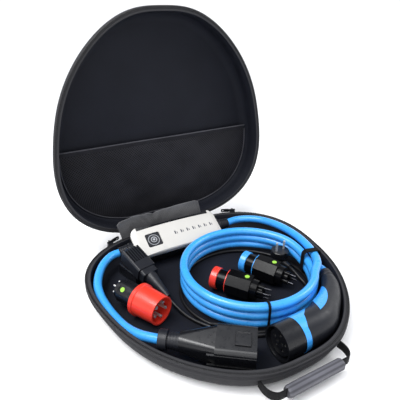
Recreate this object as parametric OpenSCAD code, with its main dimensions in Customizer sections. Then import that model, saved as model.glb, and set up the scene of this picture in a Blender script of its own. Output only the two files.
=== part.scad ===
// Portable EV charging set packed in its zipped carry case, with the lid open.
// The origin is the middle of the case's underside. X runs along the hinge, Y towards it, Z is up.

/* [Case] */
// Width of the case over its zip band
case_w = 496; // [490:1:540]
// Reach of the case from its origin to the front
case_front = 238; // [236:1:260]
// Reach of the case from its origin to the straight hinge side
case_rear = 233; // [228:1:236]
// Height of the base tray
base_h = 42; // [38:1:46]
// Height of the lid
lid_h = 56; // [54:1:70]
// Thickness of the moulded foam shell
shell_t = 5; // [4:0.5:6]
// Outer corner radius of the base tray
base_corner = 22; // [16:1:24]
// Outer corner radius of the lid
lid_corner = 26; // [16:1:32]
// Height of the sewn zip band on each half
band_h = 12; // [9:0.5:15]
// Thickness of the zip band
band_t = 6; // [5:0.5:7]
// Gap between the two zip bands with the lid shut
rim_gap = 3; // [2.4:0.1:4]
// Angle at which the lid stands open
open_angle = 91; // [85:1:95]
// Width of the zip teeth
teeth_w = 3; // [2:0.25:4]

/* [Hinge and pocket] */
// Width of the fabric hinge strip
hinge_w = 176; // [140:2:180]
// Thickness of the fabric hinge strip
hinge_t = 1.2; // [0.8:0.1:1.4]
// Width of the upright fabric flap behind the control box
flap_w = 220; // [180:2:226]
// Height of the flap above the rim
flap_h = 50; // [36:1:56]
// Thickness of the flap
flap_t = 1.6; // [1:0.1:3]
// Distance from the case's middle to the pocket's upper edge, towards the hinge
pocket_edge = 34; // [0:1:80]
// Depth of the space behind the pocket's mesh
pocket_depth = 8; // [6:0.5:9]
// Thickness of the pocket's mesh
mesh_t = 1.2; // [0.8:0.1:2]
// Width of the pocket's binding tape
binding_w = 10; // [6:0.5:14]

/* [Zip sliders] */
// Length of a slider along the zip
slider_l = 14; // [10:0.5:18]
// Height of a slider
slider_h = 10; // [8:0.5:12]
// Length of a slider's pull tab
pull_l = 28; // [20:1:34]
// Width of a pull tab
pull_w = 8; // [6:0.5:10]
// Thickness of a pull tab
pull_t = 2; // [1.5:0.1:2.4]

/* [Handle] */
// Length of the handle's grip sleeve
grip_l = 108; // [90:1:120]
// Diameter of the grip sleeve
grip_d = 19; // [16:0.5:22]
// Angle on the case's outline, from the side to the front, of the strap's roots
strap_angle = 62; // [58:0.5:66]
// Width of the handle's webbing
webbing_w = 16; // [14:1:20]
// Thickness of the handle's webbing
webbing_t = 2.4; // [1.8:0.2:3]
// Clear space for the fingers between the grip and the zip band
finger_gap = 7; // [6:0.5:12]

/* [Control box] */
// Length of the control box
box_l = 208; // [200:1:210]
// Width of the control box across its face
box_w = 72; // [66:1:74]
// Depth of the control box from face to back
box_t = 45; // [42:1:48]
// Angle at which the box leans on the rear rim
box_tilt = 30; // [27:1:33]
// Corner radius of the box
box_r = 17; // [8:1:18]
// Wall of the box's housing
box_wall = 3; // [2:0.25:4]
// Depth of the white cover at its crown
cover_t = 14; // [13:0.5:17]
// Radius of the cover's arched face
crown_r = 900; // [800:10:2000]
// Side of the square button panel
panel_s = 33; // [26:0.5:36]
// Diameter of the mode button
button_d = 18; // [12:0.5:20]
// Travel of the mode button
button_travel = 0.8; // [0.4:0.1:1]
// Number of status lights
led_count = 7; // [3:1:7]
// Distance between neighbouring status lights
led_pitch = 15; // [8:0.5:15]
// Length of each cable gland
gland_l = 32; // [28:1:36]
// Largest diameter of a cable gland
gland_d = 30; // [26:0.5:32]

/* [Cables] */
// Diameter of the blue charging cable
cable_d = 16.5; // [14:0.25:17]
// Diameter of the thin adapter cable
thin_d = 7; // [6:0.25:7.5]
// Radius of the blue coil to the cable's middle
coil_r = 128; // [124:0.5:130]
// Radius of the thin coil to its middle
thin_coil_r = 128; // [120:0.5:130]
// Width of the hook-and-loop ties
tie_w = 12; // [9:1:24]
// Width of the thin front tie
thin_tie_w = 5; // [3:0.5:8]
// Thickness of the ties
tie_t = 1.2; // [0.8:0.1:1.6]

/* [Mains coupler] */
// Length of the coupler's moulded body
coupler_l = 121; // [112:1:126]
// Side of the coupler's square body
coupler_s = 54; // [48:1:56]
// Depth of the coupler's socket
socket_depth = 34; // [24:1:40]
// Wall round the coupler's socket
socket_wall = 5; // [4:0.5:7]
// Side of the square release button
release_s = 24; // [16:1:28]
// Travel of the release button
release_travel = 2.5; // [1:0.25:3]

/* [Vehicle plug] */
// Diameter of the plug's nose
nose_d = 60; // [57:0.5:62]
// Length of the plug's nose
nose_l = 36; // [32:1:40]
// Diameter of the contact block inside the nose
core_d = 45; // [40:0.5:47]
// Depth of the ring-shaped space round the contact block
nose_depth = 26; // [20:1:28]
// Diameter of the grip at its middle
hand_d = 42; // [38:0.5:44]

/* [Red five-pin adapter] */
// Diameter of the red collar's flange
flange_d = 61; // [58:0.5:63]
// Diameter of the red collar at its mouth
collar_d = 53; // [50:0.5:56]
// Wall of the red collar
collar_wall = 2.5; // [2:0.25:3.5]
// Length of the red collar with its flange
collar_l = 55; // [48:1:58]
// Diameter of the adapter's black body
adapter_d = 44; // [40:0.5:46]
// Length of the adapter's black body
adapter_l = 48; // [42:1:50]

/* [Small adapters] */
// Width of a small adapter's eight-sided body across flats
small_s = 48; // [44:0.5:50]
// Length of a small adapter's eight-sided body
small_l = 48; // [40:1:52]
// Diameter of a small adapter's coloured end ring
ring_d = 44; // [40:0.5:46]
// Length of a small adapter's coloured end ring
ring_l = 14; // [10:0.5:16]
// Diameter of a small adapter's neck
neck_d = 40; // [36:0.5:42]
// Length of a small adapter's neck
neck_l = 20; // [14:0.5:22]

/* [Adapter lead] */
// Width of the ribbed adapter block
block_w = 40; // [36:0.5:42]
// Thickness of the ribbed adapter block
block_t = 30; // [26:0.5:31]
// Length of the ribbed adapter block
block_l = 60; // [50:1:64]
// Number of ribs on the adapter block
rib_count = 6; // [3:1:7]
// Thickness of the spare adapter under the ribbed one
spare_t = 24; // [20:0.5:24]
// Diameter of the mains plug on the thin cable
plug_d = 38; // [36:0.5:39]
// Height of the mains plug's body
plug_h = 33; // [28:0.5:36]
// Length of the mains plug's pins
plug_pin_l = 19; // [15:0.5:19]

/* [Hidden] */
$fn = 48;

// Clearances: things that rest on each other, moving guides, and press joints of cords
rest_gap = 0.3;
guide_gap = 0.3;
box_gap = 3;
cord_bite = 4;

// The case's plan is a rounded egg, wider towards the hinge
outline_n = 72;
corner_steps = 4;
squareness = 2.85;
squareness_rear = 3.1;
egg_lean = 0.19;
egg_round = 0.165;

// Heights and places that follow from the case
rim_w = band_t + shell_t;
floor_z = shell_t;
rest_z = floor_z + rest_gap;
hinge_back = 2;
hinge_y = case_rear + hinge_back;
hinge_z = base_h + rim_gap / 2;
teeth_h = (rim_gap - 2 * guide_gap) / 2 - 0.05;
band_round = 2;
hinge_flat_angle = 62;
flap_x = -33;
slider_clear = 20;
slider_angle = atan2(case_rear, flap_w / 2 - flap_x + slider_clear);
slider_t = 4;
slider_gap = 0.8;
pin_r = 1;

// The control box lies with its lower back edge on the floor and its upper back edge by the rear wall
box_x = -18;
box_y = case_rear - rim_w - box_gap - box_w * cos(box_tilt) - box_t * sin(box_tilt);
box_z = rest_z + box_t * cos(box_tilt);
gland_depth = 26;
boss_r = 4.5;
board_lift = 12;
board_t = 1.6;
cover_edge = 7;
cover_end_r = 260;
cover_end_drop = 9;
ear_l = 15;
ledge_w = 8;
ledge_drop = 1.6;
panel_x = -60;
panel_y = 33;
panel_sink = 4;
led_first_x = -10;
led_y = 31;
led_size = [3, 8, 3];

// The blue coil in its ties stands on the thin coil, which lies on the floor
coil_at = [52, -6];
thin_coil_at = [42, -16];
coil_turns = 3;
turn_pitch = cable_d - 0.2;
thin_coil_z = rest_z;
tie_z = thin_coil_z + thin_d + rest_gap;
coil_z = tie_z + tie_t + rest_gap;
coil_h = cable_d + (coil_turns - 1) * turn_pitch;
side_tie_angle = -14;
front_tie_angle = -110;

// Routes of the cords
supply_route = [[-150, 178, 40], [-168, 176, 40], [-186, 164, 39], [-202, 145, 38], [-216, 120, 36],
    [-225, 92, 33], [-227, 58, 30], [-222, 15, 27], [-213, -25, 27], [-199, -58, 31], [-176, -88, 36]];
lead_route = [[114, 178, 40], [140, 176, 43], [165, 163, 46], [186, 140, 49], [199, 108, 52],
    [206, 72, 54], [207, 34, 55], [202, -4, 55], [191, -40, 55], [173, -70, 55], [150, -88, 55]];
tail_route = [[140, 90, 22], [166, 64, 22], [185, 32, 22], [194, -4, 24], [193, -36, 29],
    [189, -60, 34], [186, -82, 36]];
thin_lead_route = [[-115, 23, 21], [-110, 1, 16], [-104, -21, 11], [-96, -44, 9], [-82, -70, 9],
    [-62, -96, 9], [-38, -118, 9]];
thin_tail_route = [[149, -16, 22], [149, -32, 21], [150, -50, 15], [151, -66, 10], [150, -80, 9]];

// Where the other things lie: the middle of the rear end and the heading of each
coupler_at = [-178, -87];
coupler_yaw = -37;
coupler_roll = 15;
boot_l = 34;
five_pin_at = [-189, 66];
five_pin_yaw = -65.5;
five_pin_roll = 40;
red_adapter_at = [-13, 21];
red_adapter_yaw = -56;
blue_adapter_at = [71, 39];
blue_adapter_yaw = -64.5;
ribbed_at = [-142, 141, 58];
ribbed_yaw = -77;
ribbed_pitch = 15.8;
spare_at = [-146, 160];
spare_yaw = -75;
mains_plug_at = [149, 15];

// The vehicle plug lies on its side and bends round the front corner of the case
nose_tip_x = -18;
plug_y = -185;
band_proud = 0.6;
plug_z = rest_z + nose_d / 2 + band_proud;
hand_route = [[nose_tip_x + nose_l, plug_y, plug_z], [75, -180, plug_z], [106, -163, plug_z],
    [133, -146, plug_z], [159, -123, plug_z], [173, -103, plug_z]];
hand_steps = 3;
hand_gland_l = 26;

// A closed outline point of the case at an angle, set in by a distance
function egg_unit(a) =
    let (c = cos(a), s = sin(a), q = s > 0 ? squareness_rear : squareness)
    let (r = pow(pow(abs(c), q) + pow(abs(s), q), -1 / q))
    let (t = r * s)
    [r * c * (1 + egg_lean * t - egg_round * t * t), t];
egg_peak = max([for (i = [0 : outline_n - 1]) egg_unit(360 * i / outline_n)[0]]);
function case_point(a, inset) =
    let (u = egg_unit(a))
    [u[0] / egg_peak * (case_w / 2 - inset), min(u[1] * (case_front - inset), case_rear - inset)];
function case_ring(inset, z) =
    [for (i = [0 : outline_n - 1]) let (p = case_point(360 * i / outline_n, inset)) [p[0], p[1], z]];

// A smooth curve through a route's points, and a round section square to it
function spline_point(p, i, u) =
    let (a = p[max(i - 1, 0)], b = p[i], c = p[i + 1], d = p[min(i + 2, len(p) - 1)])
    0.5 * (2 * b + (c - a) * u + (2 * a - 5 * b + 4 * c - d) * u * u + (3 * b - a - 3 * c + d) * u * u * u);
function spline(p, steps) =
    concat([for (i = [0 : len(p) - 2], k = [0 : steps - 1]) spline_point(p, i, k / steps)], [p[len(p) - 1]]);
function unit(v) = v / norm(v);
function heading(c, i) = unit(c[min(i + 1, len(c) - 1)] - c[max(i - 1, 0)]);
function section(at, along, rx, rz, sides) =
    let (side = unit(cross(along, [0, 0, 1])))
    let (up = cross(side, along))
    [for (k = [0 : sides - 1]) at + rx * cos(-360 * k / sides) * side + rz * sin(-360 * k / sides) * up];

// A solid skinned over a row of rings, closed by caps or joined end to end
module skin(rings, loop = false) {
    n = len(rings[0]);
    m = len(rings);
    sides = [for (j = [0 : loop ? m - 1 : m - 2], i = [0 : n - 1])
        let (a = j * n + i, b = j * n + (i + 1) % n, c = ((j + 1) % m) * n + i)
        let (d = ((j + 1) % m) * n + (i + 1) % n)
        each [[a, c, d], [a, d, b]]];
    caps = loop ? [] : [[for (i = [0 : n - 1]) i], [for (i = [n - 1 : -1 : 0]) (m - 1) * n + i]];
    polyhedron(points = [for (r = rings) each r], faces = concat(sides, caps), convexity = 6);
}
module cord(route, d, sides, steps = 2) {
    c = spline(route, steps);
    skin([for (i = [0 : len(c) - 1]) section(c[i], heading(c, i), d / 2, d / 2, sides)]);
}

// A turned piece along X, from points of radius and distance
module turned(profile) {
    rotate([0, 90, 0]) rotate_extrude() polygon(profile);
}
module rod(x0, x1, r, y = 0, z = 0) {
    translate([x0, y, z]) rotate([0, 90, 0]) cylinder(h = x1 - x0, r = r);
}
module rounded(w, h, r) {
    translate([r - w / 2, -h / 2]) square([w - 2 * r, h]);
    translate([-w / 2, r - h / 2]) square([w, h - 2 * r]);
    for (x = [r - w / 2, w / 2 - r], y = [r - h / 2, h / 2 - r]) translate([x, y]) circle(r);
}

// Half of the case: a moulded tray with rounded lower corners
function tray_rings(h, corner) = concat(
    [for (k = [0 : corner_steps]) let (a = 90 * k / corner_steps)
        case_ring(band_t + corner * (1 - sin(a)), corner * (1 - cos(a)))],
    [case_ring(band_t, h), case_ring(rim_w, h)],
    [for (k = [corner_steps : -1 : 0]) let (a = 90 * k / corner_steps, r = corner - shell_t)
        case_ring(rim_w + r * (1 - sin(a)), shell_t + r * (1 - cos(a)))]);
module zip_band(h) {
    low = h - band_h;
    skin([case_ring(band_t, low), case_ring(band_round, low), case_ring(0, low + band_round),
        case_ring(0, h - band_round), case_ring(band_round, h), case_ring(band_t, h)], loop = true);
}
module zip_teeth(h) {
    inner = band_t / 2 + teeth_w / 2;
    outer = band_t / 2 - teeth_w / 2;
    first = 180 - hinge_flat_angle;
    last = 360 + hinge_flat_angle;
    steps = outline_n * (last - first) / 360;
    skin([for (i = [0 : steps]) let (a = first + (last - first) * i / steps)
        let (p = case_point(a, inner), q = case_point(a, outer))
        [[p[0], p[1], h], [p[0], p[1], h + teeth_h], [q[0], q[1], h + teeth_h], [q[0], q[1], h]]]);
}

// The lid is drawn shut, opening down, and then swung open about the hinge
module in_lid() {
    translate([0, hinge_y, hinge_z]) rotate([-open_angle, 0, 0]) translate([0, -hinge_y, rim_gap / 2])
        translate([0, 0, lid_h]) mirror([0, 0, 1]) children();
}
module base_shell() { color("#26262a") skin(tray_rings(base_h, base_corner)); }
module base_zip_band() { color("#33333a") zip_band(base_h); }
module base_zip_teeth() { color("#1c1c20") zip_teeth(base_h); }
module lid_shell() { color("#26262a") in_lid() skin(tray_rings(lid_h, lid_corner)); }
module lid_zip_band() { color("#33333a") in_lid() zip_band(lid_h); }
module lid_zip_teeth() { color("#1c1c20") in_lid() zip_teeth(lid_h); }

// The mesh pocket covers the lid's hinge half, and its edge is sewn into the lid's rounded corner
lid_fillet = lid_corner - shell_t;
fillet_rise = lid_fillet - pocket_depth + mesh_t / 2;
facet_sag = lid_fillet * (1 - cos(45 / corner_steps));
pocket_inset = rim_w + lid_fillet - sqrt(lid_fillet * lid_fillet - fillet_rise * fillet_rise) + facet_sag
    + rest_gap;
piping_w = 3;
module pocket_plan(inset, edge) {
    intersection() {
        polygon([for (i = [0 : outline_n - 1]) case_point(360 * i / outline_n, inset)]);
        translate([-case_w, edge]) square([2 * case_w, case_front]);
    }
}
module mesh_pocket() {
    color("#1d1d22") in_lid() translate([0, 0, shell_t + pocket_depth])
        linear_extrude(mesh_t) pocket_plan(pocket_inset + piping_w, pocket_edge + binding_w);
}
module pocket_binding() {
    color("#4a4a50") in_lid() {
        translate([0, 0, shell_t + pocket_depth - mesh_t / 2]) linear_extrude(2 * mesh_t) difference() {
            pocket_plan(pocket_inset, pocket_edge);
            pocket_plan(pocket_inset + piping_w, pocket_edge + binding_w);
        }
    }
}

// The hinge: a fabric strip outside, and a fabric flap that stands up inside
module hinge_strip() {
    leg = band_h - 1;
    top_z = hinge_z + hinge_back - guide_gap;
    back = case_rear + rest_gap / 3;
    color("#2c2c31") translate([-hinge_w / 2, 0, 0]) rotate([90, 0, 90]) linear_extrude(hinge_w) polygon([
        [back, base_h - leg], [back + hinge_t, base_h - leg], [back + hinge_t, top_z - hinge_t],
        [hinge_y + rim_gap / 2 + leg, top_z - hinge_t], [hinge_y + rim_gap / 2 + leg, top_z - rest_gap],
        [hinge_y + rim_gap / 2, top_z], [back, top_z]]);
}
module hinge_flap() {
    fold = 12;
    color("#5a5a60") translate([flap_x, case_rear - band_t / 2, base_h + rest_gap]) rotate([90, 0, 0])
        linear_extrude(flap_t) polygon([[-flap_w / 2 + fold, 0], [flap_w / 2, 0], [flap_w / 2 - fold, flap_h],
            [-flap_w / 2, flap_h - fold / 4]]);
}

// Zip sliders wait at both ends of the zip, each with a pull tab on an upright pin
module at_slider(side) {
    a = side > 0 ? slider_angle : 180 - slider_angle;
    p = case_point(a, 0);
    q = case_point(a + 1, 0) - case_point(a - 1, 0);
    translate([p[0], p[1], base_h + rim_gap / 2]) rotate([0, 0, atan2(q[1], q[0])])
        mirror([side > 0 ? 0 : 1, 0, 0]) children();
}
pull_axis_y = -(slider_t + pull_t);
module slider_body() {
    ear = 2.4;
    translate([-slider_l / 2, -slider_t, -slider_h / 2]) cube([slider_l, slider_t - slider_gap, slider_h]);
    for (z = [-slider_h / 2, slider_h / 2 - ear]) translate([0, pull_axis_y, z]) difference() {
        union() {
            cylinder(h = ear, r = pull_t);
            translate([-pull_t, 0, 0]) cube([2 * pull_t, pull_t + slider_t / 2, ear]);
        }
        translate([0, 0, -1]) cylinder(h = ear + 2, r = pin_r);
    }
    translate([0, pull_axis_y, -slider_h / 2]) cylinder(h = slider_h, r = pin_r);
}
module zip_sliders() { color("#55555c") for (side = [-1, 1]) at_slider(side) slider_body(); }
module zip_pull(side) {
    eye_h = slider_h - 2 * 2.4 - 2 * guide_gap;
    hole = [pull_l - 5, 0, 0];
    color("#6a6a72") at_slider(side) translate([0, pull_axis_y, 0]) difference() {
        union() {
            cylinder(h = eye_h, r = pull_t, center = true);
            translate([0, -pull_t / 2, -eye_h / 2]) cube([pull_l / 2, pull_t, eye_h]);
            translate([pull_l / 4, pull_t / 2, 0]) rotate([90, 0, 0]) linear_extrude(pull_t)
                translate([3 * pull_l / 8, 0]) rounded(3 * pull_l / 4, pull_w, pull_w / 3);
        }
        cylinder(h = 2 * pull_w, r = pin_r + 0.1, center = true);
        translate(hole) rotate([90, 0, 0]) cylinder(h = 4 * pull_t, r = 1.6, center = true);
    }
}
module zip_pull_left() { zip_pull(-1); }
module zip_pull_right() { zip_pull(1); }

// The handle: a sleeve on a webbing strap whose ends are sewn to the front wall
grip_y = -case_front - finger_gap - grip_d / 2;
grip_z = base_h - band_h - rest_gap - webbing_w / 2;
grip_flare = 1;
grip_bore_r = webbing_w / 4 + webbing_t / 2;
function ribbon(p, t) =
    let (side = [for (i = [0 : len(p) - 1]) let (h = heading(p, i)) t / 2 * [-h[1], h[0]]])
    concat([for (i = [0 : len(p) - 1]) p[i] + side[i]], [for (i = [len(p) - 1 : -1 : 0]) p[i] - side[i]]);
module handle_strap() {
    wall = case_point(-strap_angle, band_t);
    root = [wall[0], wall[1] - webbing_t / 2 - rest_gap];
    end = [grip_l / 2 + rest_gap, grip_y];
    corner = [root[0] - 2, grip_y + 9];
    half = [root[0] + 1, (root[1] + corner[1]) / 2];
    leg = spline([root, half, corner, [corner[0] - 9, grip_y + 1], end], 4);
    color("#2a2a2e") translate([0, 0, grip_z]) {
        for (side = [0, 1]) mirror([side, 0, 0])
            linear_extrude(webbing_w, center = true) polygon(ribbon(leg, webbing_t));
        translate([0, grip_y, 0]) cube([grip_l + 2, webbing_t, webbing_w / 2], center = true);
    }
}
module handle_grip() {
    r = grip_d / 2;
    color("#5b5b64") translate([-grip_l / 2, grip_y, grip_z]) turned([[grip_bore_r, 0], [r - grip_flare, 0],
        [r, 3], [r, grip_l - 3], [r - grip_flare, grip_l], [grip_bore_r, grip_l]]);
}

// The control box
module in_box() { translate([box_x, box_y, box_z]) rotate([box_tilt, 0, 0]) children(); }
function crown_z(x) = sqrt(crown_r * crown_r - x * x) - crown_r;
cavity_l = box_l - 2 * box_wall;
cavity_w = box_w - 2 * box_wall;
boss_x = cavity_l / 2 - 1.6 * boss_r;
boss_y = cavity_w / 2 - 1.6 * boss_r;
module box_plan(inset) {
    translate([0, box_w / 2]) rounded(box_l - 2 * inset, box_w - 2 * inset, box_r - inset);
}
module at_bosses() {
    for (x = [-boss_x, boss_x], y = [-boss_y, boss_y]) translate([x, box_w / 2 + y, 0]) children();
}
screw_r = 1.6;
screw_head_r = 3;
screw_head_t = 2;
screw_l = box_wall + 9;
module cover_form() {
    end_z = -cover_end_drop - sqrt(cover_end_r * cover_end_r - box_l * box_l / 4);
    intersection() {
        translate([0, 0, -cover_t]) linear_extrude(cover_t) children();
        across_box(-crown_r) cylinder(h = box_w + 2, r = crown_r, $fn = 720);
        across_box(end_z) cylinder(h = box_w + 2, r = cover_end_r, $fn = 360);
        translate([-box_l, box_w / 2, -cover_t]) rotate([90, 0, 90])
            linear_extrude(2 * box_l) rounded(box_w, 2 * cover_t, cover_edge);
    }
}
module across_box(z) { translate([0, box_w + 1, z]) rotate([90, 0, 0]) children(); }
// Plan of the dark ledge between the cover's two ears, along the rear edge
module ledge_plan(gap) {
    reach = box_l / 2 - ear_l - gap;
    translate([-reach, box_w - ledge_w + gap]) square([2 * reach, 2 * ledge_w]);
}
module box_housing() {
    color("#202024") in_box() difference() {
        union() {
            translate([0, 0, -ledge_drop]) cover_form() intersection() {
                box_plan(0);
                ledge_plan(guide_gap);
            }
            difference() {
                translate([0, 0, -box_t]) linear_extrude(box_t - cover_t) box_plan(0);
                translate([0, 0, box_wall - box_t]) linear_extrude(box_t) box_plan(box_wall);
            }
            at_bosses() translate([0, 0, box_wall - box_t]) cylinder(h = board_lift, r = boss_r);
        }
        at_bosses() translate([0, 0, -box_t - 1]) {
            cylinder(h = 1 + screw_l + 1, r = screw_r + 0.1);
            cylinder(h = 1 + screw_head_t + 0.2, r = screw_head_r + 0.2);
        }
    }
}
module box_cover() {
    lip = cover_t - 4;
    color("#eceef0") in_box() difference() {
        cover_form() difference() {
            box_plan(0);
            ledge_plan(0);
        }
        translate([0, 0, -cover_t - 1]) linear_extrude(1 + cover_t - lip) box_plan(box_wall);
        translate([panel_x, panel_y, -panel_sink])
            linear_extrude(panel_sink + 1) rounded(panel_s, panel_s, 4);
        translate([panel_x, panel_y, -panel_sink - button_travel - 2])
            cylinder(h = panel_sink, d = button_d + 2 * guide_gap);
        for (i = [0 : led_count - 1]) led_block(i, 0);
    }
}
module led_block(i, gap) {
    x = led_first_x + i * led_pitch;
    translate([x + gap, led_y + gap, crown_z(x) - led_size[2]])
        cube([led_size[0] - 2 * gap, led_size[1] - 2 * gap, led_size[2] + (gap > 0 ? 0 : 1)]);
}
module status_lights() {
    color("#b9c3c9") in_box() for (i = [0 : led_count - 1]) led_block(i, 0.1);
}
panel_t = panel_sink + crown_z(abs(panel_x) + panel_s / 2);
module button_panel() {
    color("#34343a") in_box() translate([panel_x, panel_y, -panel_sink]) linear_extrude(panel_t)
        difference() {
            rounded(panel_s - 0.4, panel_s - 0.4, 3.8);
            circle(d = button_d + 2 * guide_gap);
        }
}
module mode_button() {
    proud = button_travel + 0.2;
    ring_r = button_d / 2 - 3;
    color("#17171a") in_box() translate([panel_x, panel_y, -panel_sink - 1]) difference() {
        cylinder(h = panel_t + 1 + proud, d = button_d);
        translate([0, 0, panel_t + 1 + proud - 0.6]) difference() {
            cylinder(h = 1, r = ring_r);
            translate([0, 0, -1]) cylinder(h = 3, r = ring_r - 1.5);
        }
    }
}

// Inside the box: the board on its bosses, two relays, the fault-current ring and the screws
board_z = box_wall + board_lift - box_t;
module circuit_board() {
    color("#2d6a45") in_box() translate([0, box_w / 2, board_z]) difference() {
        linear_extrude(board_t) rounded(cavity_l - 2, cavity_w - 2, box_r - box_wall - 1);
        for (x = [-boss_x, boss_x], y = [-boss_y, boss_y])
            translate([x, y, -1]) cylinder(h = 4, r = screw_r + 0.1);
    }
}
relay = [30, 26, 10];
relay_gap = 16;
sensor_r = 15;
sensor_bore_r = 9;
sensor_h = 9;
module power_relays() {
    starts = [-relay[0] - 1.5 * relay_gap, -0.5 * relay_gap];
    color("#1f1f24") in_box() for (x = starts)
        translate([x, box_w / 2 - relay[1] / 2, board_z + board_t]) cube(relay);
}
module fault_sensor() {
    x = relay[0] + relay_gap + sensor_r;
    color("#7a5a30") in_box() translate([x, box_w / 2, board_z + board_t]) difference() {
        cylinder(h = sensor_h, r = sensor_r);
        translate([0, 0, -1]) cylinder(h = sensor_h + 2, r = sensor_bore_r);
    }
}
module box_screws() {
    color("#b4b4ba") in_box() at_bosses() translate([0, 0, -box_t]) {
        cylinder(h = screw_head_t, r = screw_head_r);
        cylinder(h = screw_l, r = screw_r);
    }
}

// Ribbed cable glands at the box's two ends
module gland() {
    r = gland_d / 2;
    tip = cable_d / 2 + 2;
    rib = 1;
    steps = 5;
    taper = (gland_l - 10) / steps;
    turned(concat([[0, 0], [r, 0], [r, 8], [r - 2, 10]], [for (i = [0 : steps - 1]) each let
        (x = 10 + i * taper, q = r - 2 + (tip - r + 2) * (i + 1) / steps)
        [[q, x + 0.3 * taper], [q + rib, x + 0.4 * taper], [q + rib, x + 0.9 * taper], [q, x + taper]]],
        [[0, gland_l]]));
}
module in_gland(side) {
    in_box() translate([side * box_l / 2, box_w / 2, -gland_depth])
        rotate([0, 0, side > 0 ? 0 : 180]) children();
}
module supply_gland() { color("#2e2e33") in_gland(-1) gland(); }
module lead_gland() { color("#242428") in_gland(1) gland(); }

// The blue cables and the hook-and-loop ties
module supply_cable() { color("#3f8fe6") cord(supply_route, cable_d, 10); }
module vehicle_lead() { color("#3f8fe6") cord(lead_route, cable_d, 10); }
module vehicle_tail() { color("#3f8fe6") cord(tail_route, cable_d, 10); }
module vehicle_coil() {
    color("#3f8fe6") translate([coil_at[0], coil_at[1], coil_z]) rotate_extrude()
        translate([coil_r, cable_d / 2]) {
            for (i = [0 : coil_turns - 1]) translate([0, i * turn_pitch]) circle(d = cable_d);
            translate([-cable_d / 4, 0]) square([cable_d / 2, (coil_turns - 1) * turn_pitch]);
        }
}
module coil_tie(angle, inner, outer, strap_w) {
    tie_r = 6;
    w = inner + outer + 2 * tie_t;
    h = coil_h + 2 * rest_gap + 2 * tie_t;
    color("#1b1b1e") translate([coil_at[0], coil_at[1], 0]) rotate([0, 0, angle])
        translate([coil_r + (outer - inner) / 2, strap_w / 2, tie_z + h / 2]) rotate([90, 0, 0])
            linear_extrude(strap_w) difference() {
                rounded(w, h, tie_r);
                rounded(w - 2 * tie_t, h - 2 * tie_t, tie_r - tie_t);
            }
}
tie_inner = cable_d / 2 + 0.8;
module coil_tie_side() { coil_tie(side_tie_angle, tie_inner, 1.5 * cable_d + 2.2, tie_w); }
module coil_tie_front() { coil_tie(front_tie_angle, tie_inner, tie_inner, thin_tie_w); }

// The mains coupler, along X from its ribbed boot to its socket
coupler_r = 8;
coupler_z = rest_z + (coupler_s / 2 - coupler_r) * (cos(coupler_roll) + sin(coupler_roll)) + coupler_r;
module in_coupler() {
    translate([coupler_at[0], coupler_at[1], coupler_z]) rotate([coupler_roll, 0, coupler_yaw])
        children();
}
boot_end_r = 17;
coupler_cone = coupler_l * 0.48;
coupler_end = boot_l + coupler_l;
module coupler_boot() {
    nut = 14;
    ribs = 4;
    pitch = (boot_l - nut) / ribs;
    color("#1d1d21") in_coupler() turned(concat(
        [[0, 0], [boot_end_r - 1, 0], [boot_end_r, 1], [boot_end_r, nut]],
        [for (i = [0 : ribs - 1]) each let (x = nut + i * pitch, r = boot_end_r - 4 + 0.6 * i)
            [[r - 1, x], [r - 1, x + 0.3 * pitch], [r, x + 0.4 * pitch], [r, x + pitch]]],
        [[0, boot_l]]));
}
module coupler_body() {
    s = coupler_s;
    box_x0 = boot_l + coupler_cone;
    rail = [coupler_l * 0.62, 3, 9];
    color("#222226") in_coupler() difference() {
        union() {
            hull() {
                rod(boot_l, boot_l + 1, boot_end_r - 1);
                translate([box_x0, 0, 0]) rotate([90, 0, 90])
                    linear_extrude(0.1) rounded(s - 4, s - 4, coupler_r + 1, $fn = 32);
            }
            translate([box_x0, 0, 0]) rotate([90, 0, 90])
                linear_extrude(coupler_end - box_x0) rounded(s, s, coupler_r);
            for (y = [-s / 2 - 1, s / 2 - rail[1] + 1], z = [s / 2 - rail[2] - 8, 8 - s / 2])
                translate([coupler_end - rail[0], y, z]) cube(rail);
        }
        translate([coupler_end - socket_depth, 0, 0]) rotate([90, 0, 90]) linear_extrude(socket_depth + 1)
            rounded(s - 2 * socket_wall, s - 2 * socket_wall, 6);
        translate([release_x - guide_gap, -release_s / 2 - guide_gap, s / 2 - release_sink])
            cube([release_s + 2 * guide_gap, release_s + 2 * guide_gap, release_sink + 1]);
        for (y = [-s / 2 - 2, s / 2 - 1])
            translate([coupler_end - 14, y, s / 2 - 12.5]) rotate([-90, 0, 0]) cylinder(h = 3, r = 1.8);
    }
}
release_sink = socket_wall - 1;
release_x = coupler_end - release_s - 9;
module release_button() {
    slot = [release_s * 0.7, 2, 1];
    color("#1a1a1d") in_coupler() difference() {
        translate([release_x, -release_s / 2, coupler_s / 2 - release_sink + release_travel + 0.2])
            cube([release_s, release_s, release_sink + 0.6]);
        translate([release_x + release_s * 0.15, release_s * 0.3,
            coupler_s / 2 + release_travel + 0.8 - slot[2]]) cube([slot[0], slot[1], slot[2] + 1]);
    }
}
module coupler_contacts() {
    color("#b9a05a") in_coupler() for (i = [0 : 4]) rotate([72 * i, 0, 0])
        rod(coupler_end - socket_depth, coupler_end - 8, 3, 0, coupler_s / 4);
}

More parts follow.
